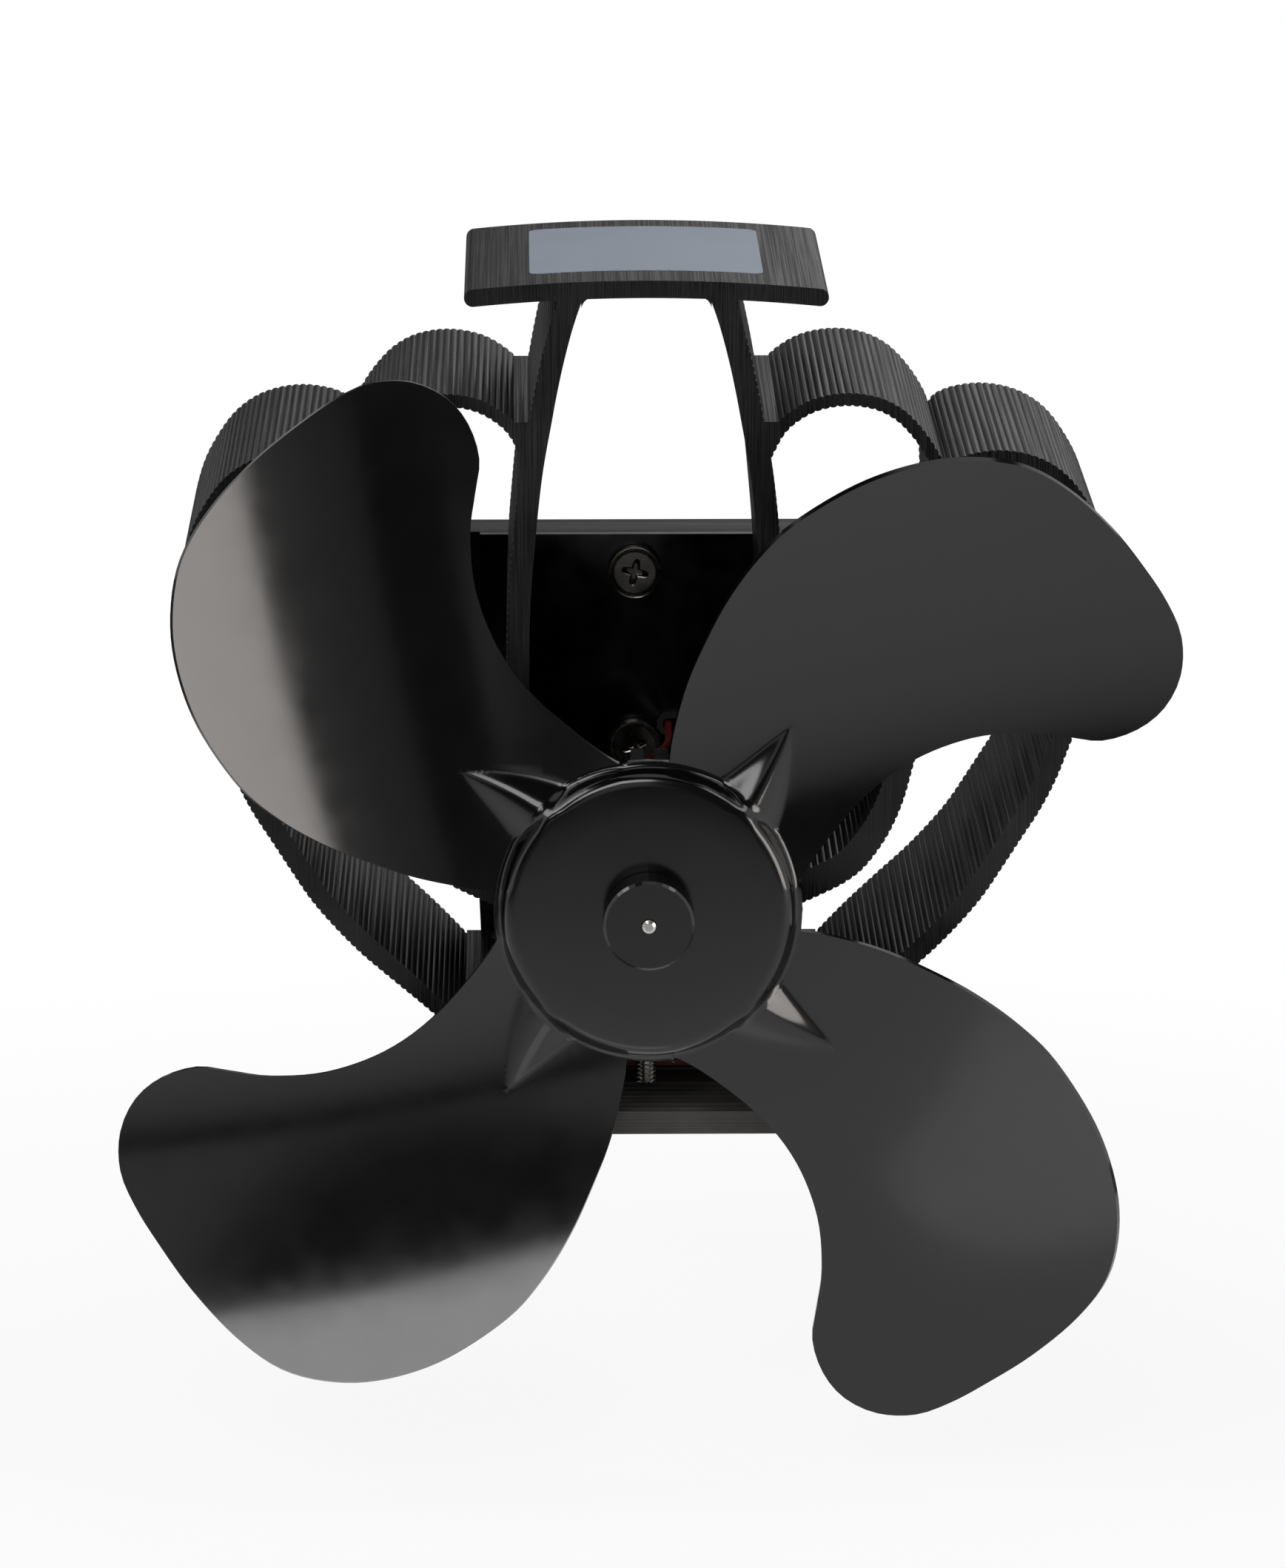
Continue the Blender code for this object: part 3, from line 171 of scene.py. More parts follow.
def satin_paint(name, dark, light, roughness, peel):
    made, tree, shader, place = new_material(name)
    drift = grain(tree, place, (22, 22, 22))
    tree.links.new(tint(tree, drift, dark, light), shader.inputs["Base Color"])
    fine = grain(tree, place, (6, 6, 6), 4)
    tree.links.new(ramp(tree, fine, roughness - 0.02, roughness + 0.02),
                   shader.inputs["Roughness"])
    wear(tree, shader, grain(tree, place, (0.35, 0.35, 0.35), 2), peel)
    return made


BLADE_PAINT = satin_paint("satin_black_sprayed_paint", "#050505", "#080808", 0.14, 0.0002)
BOSS_PAINT = satin_paint("black_turned_boss", "#080707", "#0d0c0c", 0.2, 0.0005)
print("paints made:", BLADE_PAINT.name, BOSS_PAINT.name)

# %% [markdown]
# Black anodised aluminium
#
# The heat sink is pushed hot through a die, which leaves fine lines along its length, and
# is then sawn to depth and anodised black. So its long faces carry lines that run front to
# back, and its sawn faces carry straight saw marks. One material does both: it asks each
# face which way it points, and mixes the two patterns by that.

# %% Anodised aluminium
LINE_DEPTH = 0.03


def anodised(name, dark, light, roughness, along):
    """Extruded metal. along is the axis that it was pushed along: 0 for X, 1 for Y."""
    made, tree, shader, place = new_material(name)
    shader.inputs["Metallic"].default_value = 0.2
    shader.inputs["Specular IOR Level"].default_value = 0.36
    die_sizes = [0.22, 0.22, 0.22]
    die_sizes[along] = 60
    die = grain(tree, place, die_sizes, 2)
    saw = grain(tree, place, (0.14, 14, 14) if along else (14, 14, 0.14), 3)
    facing = add(tree, "SeparateXYZ", Vector=add(tree, "NewGeometry").outputs["Normal"])
    end_on = add(tree, "Math", {"operation": "ABSOLUTE"}, _0=facing.outputs[along])
    is_end = ramp(tree, end_on.outputs[0], 0, 1, 0.8, 0.9)
    lines = add(tree, "Mix", {"data_type": "FLOAT"}, _0=is_end, _2=die, _3=saw).outputs[0]
    blotch = grain(tree, place, (14, 14, 14))
    shade = add(tree, "Mix", {"data_type": "FLOAT"}, _0=0.5, _2=lines, _3=blotch).outputs[0]
    tree.links.new(tint(tree, ramp(tree, shade, 0, 1, 0.4, 0.62), dark, light),
                   shader.inputs["Base Color"])
    tree.links.new(ramp(tree, lines, roughness - 0.1, roughness + 0.12, 0.4, 0.6),
                   shader.inputs["Roughness"])
    wear(tree, shader, lines, LINE_DEPTH)
    return made


SINK_METAL = anodised("black_anodised_heat_sink", "#050505", "#201f1f", 0.34, 1)
BASE_METAL = anodised("black_anodised_base", "#2b2a29", "#4e4c49", 0.42, 0)
BLOCK_METAL = anodised("black_anodised_block", "#070707", "#0f0f0f", 0.3, 0)
print("metals made:", SINK_METAL.name, BASE_METAL.name, BLOCK_METAL.name)

# %% [markdown]
# The small finishes
#
# The rest are quick to describe: plated steel is metal with a faint unevenness, rubber and
# nylon are dull and a little mottled, and the module's silicone seal is a dark red bead.

# %% Plated steel, plastic and rubber


def plated(name, dark, light, roughness, sizes=(0.5, 0.5, 0.5), depth=0.0003):
    made, tree, shader, place = new_material(name)
    shader.inputs["Metallic"].default_value = 1.0
    uneven = grain(tree, place, sizes, 4)
    tree.links.new(tint(tree, uneven, dark, light), shader.inputs["Base Color"])
    tree.links.new(ramp(tree, uneven, roughness - 0.06, roughness + 0.1),
                   shader.inputs["Roughness"])
    wear(tree, shader, uneven, depth)
    return made


def moulded(name, dark, light, roughness, bumps=0.01, size=1.2):
    made, tree, shader, place = new_material(name)
    mottle = grain(tree, place, (size, size, size), 4)
    tree.links.new(tint(tree, mottle, dark, light), shader.inputs["Base Color"])
    tree.links.new(ramp(tree, mottle, roughness - 0.05, roughness + 0.08),
                   shader.inputs["Roughness"])
    wear(tree, shader, mottle, bumps)
    return made


FINISHES = {
    "gloss_black_steel": moulded("gloss_black_panel", "#020202", "#040404", 0.16, 0.0005, 4),
    "black_zinc_screw": plated("black_zinc_plate", "#7d7a76", "#96938c", 0.24, (3, 3, 3), 0.0001),
    "bright_steel": plated("bright_steel_plate", "#a9a8a4", "#c6c5c0", 0.2, (2, 2, 2), 0.0006),
    "white_alumina": moulded("white_alumina", "#cfccc2", "#e4e1d8", 0.5),
    "bismuth_telluride": moulded("grey_pellets", "#3c3b44", "#5a5962", 0.5, 0.02, 0.6),
    "graphite_pad": moulded("graphite_pad", "#28292b", "#393a3c", 0.6),
    "red_silicone": moulded("dark_red_silicone", "#4a0f0b", "#661a13", 0.4, 0.05, 0.8),
    "black_rubber": moulded("black_rubber", "#101010", "#1c1c1c", 0.6),
    "black_nylon": moulded("black_nylon", "#181819", "#242425", 0.5),
    "ferrite": moulded("dark_ferrite", "#302f2d", "#454340", 0.65),
    "enamelled_copper": plated("enamelled_copper", "#8a4020", "#b05a30", 0.3, (0.2, 4, 4)),
    "brass": plated("sintered_bronze", "#8f7440", "#b8985a", 0.36),
    "carbon": moulded("black_carbon", "#1a1a1a", "#262626", 0.6),
    "satin_black_paint": BLADE_PAINT,
    "black_anodised_aluminium": SINK_METAL,
}
LEAD_RED = moulded("red_lead_insulation", "#661414", "#7a1c1c", 0.35, 0.001, 0.5)
# The terminal tabs' tin is painted darker than bare tin: painted shade for the shade they sit in.
TINNED_WITH_PAINTED_SHADE = plated("tinned_tab_painted_shade", "#3a3b3b", "#4a4b4b", 0.3, (3, 3, 3))
LABEL_FILM = moulded("blue_grey_label_film", "#8d98a7", "#a3acba", 0.4, 0.0002, 6)
print(len(FINISHES), "finishes by slot")

# %% [markdown]
# Every CAD node gets the finish of its slot in the record. A few nodes share a slot but
# not a look, so they are named one by one afterwards.

# %% Finish for every CAD node
slot_of = {part["node"]: part["material_slot"] for part in frame["record"]["subparts"]}
OWN_FINISH = {
    "base": BASE_METAL,
    "rear_block": BLOCK_METAL,
    "hub_boss": BOSS_PAINT,
    "lead_red": LEAD_RED,
    # The terminals take the darker tin, with its painted shade.
    "terminal_left": TINNED_WITH_PAINTED_SHADE,
    "terminal_right": TINNED_WITH_PAINTED_SHADE,
}
for name, node in NODES.items():
    finish = OWN_FINISH.get(name, FINISHES[slot_of[name]])
    node.data.materials.clear()
    node.data.materials.append(finish)
print("finished", len(NODES), "nodes")

# %% [markdown]
# Helpers for pieces
#
# A new piece is shaped as a bmesh in its final place, so its object sits at the origin and
# a pattern on object coordinates can't slide. Doubles are merged and the faces are turned
# outwards before the mesh is written.

# %% Helpers for pieces


def make_piece(name, shape, finish, body, replaced=(), smooth=35):
    bmesh.ops.remove_doubles(shape, verts=shape.verts, dist=0.002 * MM)
    bmesh.ops.recalc_face_normals(shape, faces=shape.faces)
    mesh = bpy.data.meshes.new(name)
    shape.to_mesh(mesh)
    shape.free()
    mesh.materials.append(finish)
    mesh.shade_smooth()
    mesh.set_sharp_from_angle(angle=math.radians(smooth))
    piece = bpy.data.objects.new(name, mesh)
    bpy.context.scene.collection.objects.link(piece)
    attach(piece, body)
    if replaced:
        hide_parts(*replaced)
    print(name, "has", len(mesh.polygons), "faces")
    return piece


def smooth_line(points, step):
    """Points about a step apart on a smooth curve through the given points."""
    points = [Vector(p) for p in points]
    padded = [2 * points[0] - points[1]] + points + [2 * points[-1] - points[-2]]
    line = []
    for a, b, c, d in zip(padded, padded[1:], padded[2:], padded[3:]):
        count = max(1, round((c - b).length / step))
        for i in range(count):
            t = i / count
            line.append(
                b + (c - a) * t / 2 + (2 * a - 5 * b + 4 * c - d) * t**2 / 2
                + (3 * b - 3 * c + d - a) * t**3 / 2
            )
    return line + [points[-1]]


def eased(start, end, share):
    """From start to end as share goes from 0 to 1, level at both ends."""
    share = min(1, max(0, share))
    return start + (end - start) * share * share * (3 - 2 * share)


def circle(radius, count):
    angles = [math.tau * i / count for i in range(count)]
    return [Vector((radius * math.cos(a), radius * math.sin(a))) for a in angles]


def anticlockwise(outline):
    ends = zip(outline, outline[1:] + outline[:1])
    return outline if sum(a.cross(b) for a, b in ends) > 0 else outline[::-1]


def flat_union(outlines, extra=(), holes=()):
    """Blender's own triangulation of several outlines, merged into one flat mesh."""
    points, loops = [], []
    for outline in list(outlines) + list(holes):
        loops.append(list(range(len(points), len(points) + len(outline))))
        points += anticlockwise([Vector(p) for p in outline])
    found = delaunay_2d_cdt(points + list(extra), [], loops, 1, 0.001 * MM)
    kept = [
        tuple(triangle)
        for triangle, sources in zip(found[2], found[5])
        if sources and all(source < len(outlines) for source in sources)
    ]
    return found[0], kept


print("halfway, an eased value is", eased(0, 1, 0.5))

# %% [markdown]
# The heat sink and its ribs
#
# Seen from the front, the heat sink is a drawing in ribbons of metal: two legs, two petals
# on each side, a floor plate and a handle. It is one extrusion, so it is made as the die
# makes it: draw the ribbons, merge them into one outline, and push that outline along Y.
# The fine ribs that fill the real surfaces belong to the same drawing. Each ribbon's edge
# is walked in short steps, and at every rib it goes in and out again on a rounded curve.

# %% The heat sink's drawing
HALF_WIDTH = 69.5 * MM
HANDLE_RISE = 91.3 * MM
PLATE_DROP = 20.7 * MM
PLATE_WALL = 5.4 * MM
RIB_PITCH = 1.1 * MM
RIB_DEPTH = 0.22 * MM
RIB_SHAPE = ((0.0, 1), (0.14, 0.42), (0.32, 0.08), (0.5, 0), (0.68, 0.08), (0.86, 0.42))
sink_low, sink_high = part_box("heat_sink")

LEG_SHARES = (
    (0.132, 0.975), (0.154, 0.926), (0.173, 0.872), (0.188, 0.820), (0.200, 0.771),
    (0.222, 0.674), (0.239, 0.548), (0.248, 0.449), (0.250, 0.329), (0.250, 0.150),
)
INNER_PETAL_SHARES = (
    (0.239, 0.717), (0.268, 0.758), (0.302, 0.784), (0.355, 0.806), (0.424, 0.815),
    (0.492, 0.808), (0.544, 0.788), (0.584, 0.758), (0.616, 0.723), (0.635, 0.690),
    (0.643, 0.635), (0.646, 0.548), (0.638, 0.438), (0.616, 0.323), (0.574, 0.207),
    (0.551, 0.142), (0.525, 0.094), (0.496, 0.057), (0.462, 0.025), (0.424, 0.003),
    (0.381, -0.014), (0.328, -0.032), (0.270, -0.046),
)
VALLEY_SHARES = ((0.245, 0.734), (0.282, 0.756), (0.282, 0.768), (0.2475, 0.768))
OUTER_PETAL_SHARES = (
    (0.624, 0.672), (0.641, 0.696), (0.660, 0.707), (0.694, 0.716), (0.747, 0.721),
    (0.803, 0.716), (0.855, 0.701), (0.901, 0.674), (0.938, 0.636), (0.967, 0.594),
    (0.987, 0.542), (0.998, 0.487), (0.996, 0.436), (0.976, 0.372), (0.945, 0.307),
    (0.910, 0.241), (0.878, 0.177), (0.843, 0.124), (0.804, 0.077), (0.765, 0.030),
    (0.721, -0.021), (0.671, -0.067), (0.614, -0.112), (0.551, -0.154), (0.486, -0.196),
    (0.436, -0.230), (0.389, -0.264), (0.354, -0.281), (0.317, -0.284),
)
print("petals from", len(INNER_PETAL_SHARES), "and", len(OUTER_PETAL_SHARES), "points")

# %% Lines into ribbed ribbons


def edge_way(line, i):
    """The direction of a line at one of its points."""
    return (line[min(i + 1, len(line) - 1)] - line[max(i - 1, 0)]).normalized()


def offset(line, walls):
    """The line moved to its right, by the wall at each point."""
    moved = []
    for i, p in enumerate(line):
        way = edge_way(line, i)
        moved.append(p + Vector((way.y, -way.x)) * walls[i])
    return moved


def ribbed(line, side):
    """The same line with ribs. side is 1 to let them in to its right, or -1 to its left.

    RIB_SHAPE says how deep each share of a rib's pitch is let in.
    """
    lengths = [0]
    for a, b in zip(line, line[1:]):
        lengths.append(lengths[-1] + (b - a).length)
    made, at = [], 0
    teeth = max(1, int(lengths[-1] / RIB_PITCH))
    for i in range(teeth):
        for share, deep in RIB_SHAPE:
            where = (i + share) / teeth * lengths[-1]
            while lengths[at + 1] < where:
                at += 1
            t = (where - lengths[at]) / (lengths[at + 1] - lengths[at])
            spot = line[at].lerp(line[at + 1], t)
            way = edge_way(line, at).lerp(edge_way(line, at + 1), t).normalized()
            made.append(spot + Vector((way.y, -way.x)) * RIB_DEPTH * deep * side)
    return made + [line[-1]]


def ribbon(line, walls, outer_ribs=True):
    outer = ribbed(line, 1) if outer_ribs else line
    return outer + ribbed(offset(line, walls), -1)[::-1]


def mirrored(outline):
    return [Vector((-p.x, p.y)) for p in reversed(outline)]


def scaled(shares):
    return [(x * HALF_WIDTH, z * HANDLE_RISE) for x, z in shares]


def walls_along(line, changes):
    """A wall for each point of a line, eased between (share of the line, wall in mm)."""
    walls = []
    for i in range(len(line)):
        at = i / (len(line) - 1)
        wall = changes[0][1]
        for (a, wall_a), (b, wall_b) in zip(changes, changes[1:]):
            if at >= a:
                wall = eased(wall_a, wall_b, (at - a) / (b - a))
        walls.append(wall * MM)
    return walls


print("ribs every", round(RIB_PITCH / MM, 2), "mm")

# %% Legs, petals, plate and handle
EDGE_STEP = 0.8 * MM
LEG_WALL = 3.4 * MM
HANDLE_HALF = 26.8 * MM
HANDLE_WALL = 2.6 * MM
HANDLE_SAG = 1.4 * MM
FILM = 0.12 * MM
FILLET = 1.6 * MM
PLATE_HALF_TOP, PLATE_HALF_FOOT = 27.2 * MM, 23 * MM


def leg():
    floor = Vector((LEG_SHARES[-1][0] * HALF_WIDTH, -PLATE_DROP - PLATE_WALL / 2))
    line = smooth_line(scaled(LEG_SHARES), EDGE_STEP * 2) + [floor]
    line = [Vector((-p.x, p.y)) for p in line]
    return mirrored(ribbon(line, [LEG_WALL] * len(line), outer_ribs=False))


def petal(shares, changes):
    line = smooth_line(scaled(shares), EDGE_STEP)
    return ribbon(line, walls_along(line, changes))


def handle_top(x):
    """The handle's height over the fan's axis. It sags to its ends and leaves room for a film."""
    return HANDLE_RISE - FILM - HANDLE_SAG * (x / HANDLE_HALF) ** 2


def handle():
    radius = HANDLE_WALL / 2
    run = HANDLE_HALF - radius
    xs = [run * (1 - i / 24) for i in range(49)]
    turn = [math.pi * i / 12 for i in range(1, 12)]
    middle = handle_top(run) - radius
    left = [(-run - radius * math.sin(a), middle + radius * math.cos(a)) for a in turn]
    right = [(run + radius * math.sin(a), middle - radius * math.cos(a)) for a in turn]
    upper = [(x, handle_top(x)) for x in xs]
    lower = [(x, handle_top(x) - HANDLE_WALL) for x in reversed(xs)]
    return [Vector(p) for p in upper + left + lower + right]


def fillet(x, z, first, second):
    """Metal in an inside corner, with a run along each of its two sides."""
    corner, first, second = Vector((x, z)), Vector(first), Vector(second)
    ts = [i / 10 for i in range(11)]
    arc = [corner + first * (1 - t) ** 2 + second * t**2 for t in ts]
    return [corner - (first + second) / 3] + arc


leg_top = Vector(scaled(LEG_SHARES)[0])
under = HANDLE_RISE - HANDLE_WALL
outer_x = leg_top.x + LEG_WALL
outer_under = under - HANDLE_SAG * (outer_x / HANDLE_HALF) ** 2
half_drawing = [
    leg(),
    petal(INNER_PETAL_SHARES, ((0, 2), (0.42, 2), (0.62, 3.6), (1, 4.6))),
    petal(OUTER_PETAL_SHARES, ((0, 2.2), (0.25, 2.2), (0.5, 3), (0.8, 3), (1, 1.8))),
    [Vector(p) for p in scaled(VALLEY_SHARES)],
    fillet(leg_top.x, under, (-FILLET, 0), (FILLET / 4, -FILLET)),
    fillet(outer_x, outer_under, (FILLET, 0), (FILLET / 4, -FILLET)),
]
plate_foot = -PLATE_DROP - PLATE_WALL
plate = [
    Vector((-PLATE_HALF_FOOT, plate_foot)), Vector((PLATE_HALF_FOOT, plate_foot)),
    Vector((PLATE_HALF_TOP, -PLATE_DROP)), Vector((-PLATE_HALF_TOP, -PLATE_DROP)),
]
drawing = [handle(), plate] + half_drawing + [mirrored(outline) for outline in half_drawing]
spots, triangles = flat_union(drawing)
print("the drawing has", len(spots), "points")

# %% Push the drawing through the die
sink = bmesh.new()
corners = [sink.verts.new((p.x, sink_low.y, p.y + AXIS_Z)) for p in spots]
for triangle in triangles:
    sink.faces.new([corners[i] for i in triangle])
bmesh.ops.delete(sink, geom=[v for v in corners if not v.link_faces], context="VERTS")
grown = bmesh.ops.extrude_face_region(sink, geom=sink.faces[:])
moved = [g for g in grown["geom"] if isinstance(g, bmesh.types.BMVert)]
bmesh.ops.translate(sink, verts=moved, vec=(0, sink_high.y - sink_low.y, 0))
make_piece("ribbed_heat_sink", sink, SINK_METAL, "stand",
           ["heat_sink"], smooth=28)

# %% [markdown]
# The pressed blades
#
# Dome, flange and blades are one sheet of steel, stamped to its outline and pressed to
# shape. The script works in the same order: the flat blank is triangulated with extra
# points inside it, each point is then pressed to its height, and a Solidify modifier gives
# the sheet its gauge. A small Bevel rounds the cut edge, which is what catches the bright
# line of light along each blade.

# %% The blank
FAN_RADIUS = 88.6 * MM
BLADE_COUNT = 4
BLADE_AXIS = math.radians(-55)
BLADE_ROOT_DEGREES = (49.5, -27.0)
BLADE_SHARES = (
    (0.253, 45.0), (0.306, 35.0), (0.410, 27.2), (0.508, 25.6), (0.608, 27.1),
    (0.695, 30.1), (0.755, 32.9), (0.804, 34.8), (0.865, 35.0), (0.920, 33.8),
    (0.965, 31.3), (0.993, 27.9), (1.000, 24.3), (1.000, 20.2), (1.000, 14.9),
    (0.995, 9.0), (0.979, 3.8), (0.939, -1.0), (0.884, -5.5), (0.809, -10.3),
    (0.712, -15.5), (0.637, -18.6), (0.555, -21.3), (0.473, -23.5), (0.390, -25.7),
    (0.302, -27.1),
)
print("blade outline from", len(BLADE_SHARES), "points")


def blade_spot(share, degrees):
    """A point at a share of the fan's radius and an angle from the blade's middle line."""
    angle = BLADE_AXIS + math.radians(degrees)
    return Vector((math.sin(angle), math.cos(angle))) * FAN_RADIUS * share


def quarter(points, i):
    """The points turned about the fan's centre by i quarter turns."""
    turn = Matrix.Rotation(-math.tau * i / BLADE_COUNT, 2)
    return [turn @ p for p in points]


FLANGE_RADIUS = 22.7 * MM
ROOT_RADIUS = 22.6 * MM
ROOT_SHARE = ROOT_RADIUS / FAN_RADIUS
ROOT_STEPS = 24
first_root, last_root = BLADE_ROOT_DEGREES
free_edge = [(ROOT_SHARE, first_root), *BLADE_SHARES, (ROOT_SHARE, last_root)]
root_edge = [
    (ROOT_SHARE, last_root + (first_root - last_root) * i / ROOT_STEPS)
    for i in range(1, ROOT_STEPS)
]
blade_edge = smooth_line([blade_spot(*p) for p in free_edge], 2 * EDGE_STEP)
blade_edge += [blade_spot(*p) for p in root_edge]
print("one blade's edge has", len(blade_edge), "points")

# %% [markdown]
# How the press shapes the sheet
#
# The flat blank says where each point is in X and Z, and the press says how far it stands
# forward in Y. Three things add up. The dome in the middle stands forward, and its wall is a
# bend, a straight flank and a bend. Four darts run out of that wall, one into the root of
# each blade, and fade away to a point. And each blade is twisted and dished: its height
# changes across its width by a pitch that grows along its length. That twist fades out as
# the wall rises, so the wall's foot follows the blades and the dome's face stays round.

# %% The press
DOME_RADIUS = 22.6 * MM
DOME_DEPTH = 3.1 * MM
DOME_CROWN = 0.45 * MM
TOP_BEND, FOOT_BEND = 1.7 * MM, 1 * MM
WALL_LEAN = math.radians(72)
DOME_FACE_Y = BOSS_FRONT + 6.5 * MM
ROOT_Y = DOME_FACE_Y + DOME_CROWN + DOME_DEPTH
BLADE_OFFSET = 1.6 * MM
PITCH_SHARES = (-0.138, 0.8275, -0.2355)
DISH_SHARE = -0.341
RAKE_SHARES = (0.165, -0.273)
DART_AXIS = math.radians(-52.7)
DART_SKEW = math.radians(7.5)
DART_REACH = 34.5 * MM
DART_HALF_WIDTH = 7.2 * MM
DART_TAPER = 0.8
RIDGE_FALL = 1.15
ROOF_ROUND = 2.2
SOFTEN = 7

top_run, foot_run = TOP_BEND * math.sin(WALL_LEAN), FOOT_BEND * math.sin(WALL_LEAN)
top_drop, foot_drop = [bend * (1 - math.cos(WALL_LEAN)) for bend in (TOP_BEND, FOOT_BEND)]
flank_run = (DOME_DEPTH - top_drop - foot_drop) / math.tan(WALL_LEAN)
DOME_WALL = top_run + flank_run + foot_run
DART_START = DOME_RADIUS - DOME_WALL
print("the dome's wall runs", round(DOME_WALL / MM, 2), "mm outwards")

# %% Heights of the dome, darts and blades


def blade_form(x, z):
    """How far back a blade's sheet lies at a point of the blade whose axis is BLADE_AXIS."""
    reach = (x * math.sin(BLADE_AXIS) + z * math.cos(BLADE_AXIS)) / FAN_RADIUS
    across = (x * math.cos(BLADE_AXIS) - z * math.sin(BLADE_AXIS)) / FAN_RADIUS
    pitch = PITCH_SHARES[0] + PITCH_SHARES[1] * reach + PITCH_SHARES[2] * reach**2
    rake = RAKE_SHARES[0] * reach + RAKE_SHARES[1] * reach**2
    return FAN_RADIUS * (pitch * across + DISH_SHARE * across**2 + rake)


def dart_place(x, z):
    """How far along the nearest dart a point is, from 0 to 1, and how far aside of it."""
    radius = math.hypot(x, z)
    along = (radius - DART_START) / (DART_REACH - DART_START)
    middle = DART_AXIS + DART_SKEW * (1 - along)
    turn = (math.atan2(x, z) - middle + math.tau / 8) % (math.tau / 4) - math.tau / 8
    return along, turn * radius


def wall_height(out):
    """The dome wall's height at a run out from its top edge: bend, straight flank, bend."""
    if out < top_run:
        return DOME_DEPTH - TOP_BEND + math.sqrt(TOP_BEND**2 - max(0, out) ** 2)
    left = DOME_WALL - out
    if left < foot_run:
        return FOOT_BEND - math.sqrt(FOOT_BEND**2 - max(0, left) ** 2)
    return foot_drop + (left - foot_run) * math.tan(WALL_LEAN)


def dart_half(along):
    """Half a dart's width, from its root at 0 to its tip at 1."""
    return DART_HALF_WIDTH * max(0, 1 - along) ** DART_TAPER


def pressed_height(x, z):
    """How far the dome and its darts stand out. SOFTEN rounds the line where they meet."""
    dome = wall_height(math.hypot(x, z) - DART_START) / DOME_DEPTH
    along, aside = dart_place(x, z)
    if along <= 0 or along >= 1:
        return DOME_DEPTH * dome
    roof = max(0, 1 - (aside / dart_half(along)) ** 2) ** ROOF_ROUND
    ridge = (1 - along) ** RIDGE_FALL * roof
    return DOME_DEPTH * min(1, (dome**SOFTEN + ridge**SOFTEN) ** (1 / SOFTEN))


def sheet_y(x, z):
    """Where the press leaves the front of the sheet."""
    radius = math.hypot(x, z)
    crown = DOME_CROWN * max(0, 1 - (radius / DOME_RADIUS) ** 4)
    turns = round((math.atan2(x, z) - BLADE_AXIS) / (math.tau / 4))
    local = Matrix.Rotation(turns * math.tau / 4, 2) @ Vector((x, z))
    beyond_wall = 1 - wall_height(radius - DART_START) / DOME_DEPTH
    twist = beyond_wall * (blade_form(*local) - BLADE_OFFSET)
    return ROOT_Y + twist - pressed_height(x, z) - crown


print("dome face at", round(sheet_y(6 * MM, 0) / MM, 2), "mm, flange at", round(ROOT_Y / MM, 2))

# %% [markdown]
# Points inside the blank
#
# The sheet can only bend where it has points. A close grid fills the blades, closer rings
# follow the dome's wall, each dart gets its own small fan of points, and two rows run beside
# each blade's edge. None of them may sit right at the edge itself, where they would make
# slivers, so each point is tested against the outline first.

# %% Points inside the blank


def clear_inside(p, outline, margin):
    """Whether a point lies in an outline, at least margin from its edge."""
    odd = False
    for a, b in zip(outline, outline[1:] + outline[:1]):
        if (a.y > p.y) != (b.y > p.y) and p.x < a.x + (p.y - a.y) * (b.x - a.x) / (b.y - a.y):
            odd = not odd
        way = b - a
        t = min(1, max(0, (p - a).dot(way) / max(way.length_squared, 1e-12)))
        if (p - a - way * t).length < margin:
            return False
    return odd


def near_dart(p, margin):
    along, aside = dart_place(*p)
    return -0.02 < along < 1.02 and abs(aside) < dart_half(along) + margin


GRID = 1.5 * MM
GRID_REACH = 62
GRID_ROW = 0.866
GRID_MARGIN = 1.3 * MM
inner_points = []
for row in range(-GRID_REACH, GRID_REACH + 1):
    for column in range(-GRID_REACH, GRID_REACH + 1):
        p = Vector((column + 0.5 * (row % 2), row * GRID_ROW)) * GRID
        fits = FLANGE_RADIUS + GRID < p.length < FAN_RADIUS and not near_dart(p, GRID / 2)
        if fits and clear_inside(p, blade_edge, GRID_MARGIN):
            for i in range(BLADE_COUNT):
                inner_points += quarter([p], i)
print(len(inner_points), "points on the grid")

# %% Rings on the dome's wall and fans of points on the darts
RING_COUNT = 240
DART_ROWS = 44
DART_STEP = 0.32 * MM
leans = [WALL_LEAN * i / 6 for i in range(7)]
runs = [-5 * MM, -2.5 * MM, -MM, -0.4 * MM, top_run + flank_run / 2]
runs += [TOP_BEND * math.sin(lean) for lean in leans]
runs += [DOME_WALL - FOOT_BEND * math.sin(lean) for lean in leans]
for run in runs:
    ring = circle(DART_START + run, RING_COUNT)
    inner_points += [p for p in ring if not near_dart(p, GRID / 6)]
for i in range(BLADE_COUNT):
    for along in [j / DART_ROWS for j in range(DART_ROWS)]:
        radius = DART_START + (DART_REACH - DART_START) * along
        middle = DART_AXIS + DART_SKEW * (1 - along) + math.tau * i / BLADE_COUNT
        steps = max(4, round(dart_half(along) / DART_STEP))
        for k in range(-steps, steps + 1):
            angle = middle + dart_half(along) * k / steps / radius
            inner_points.append(Vector((math.sin(angle), math.cos(angle))) * radius)
print(len(inner_points), "points with the rings and darts")

# %% Two rows of points along each blade's edge
EDGE_ROWS = (0.45, 0.9)
EDGE_MARGIN = 0.4 * MM
count = len(blade_edge)
for i, p in enumerate(blade_edge):
    way = (blade_edge[(i + 1) % count] - blade_edge[i - 1]).normalized()
    for depth in EDGE_ROWS:
        for side in (-1, 1):
            q = p + Vector((way.y, -way.x)) * side * depth * MM
            if q.length > FLANGE_RADIUS + GRID and clear_inside(q, blade_edge, EDGE_MARGIN):
                for j in range(BLADE_COUNT):
                    inner_points += quarter([q], j)
print(len(inner_points), "points inside the blank")

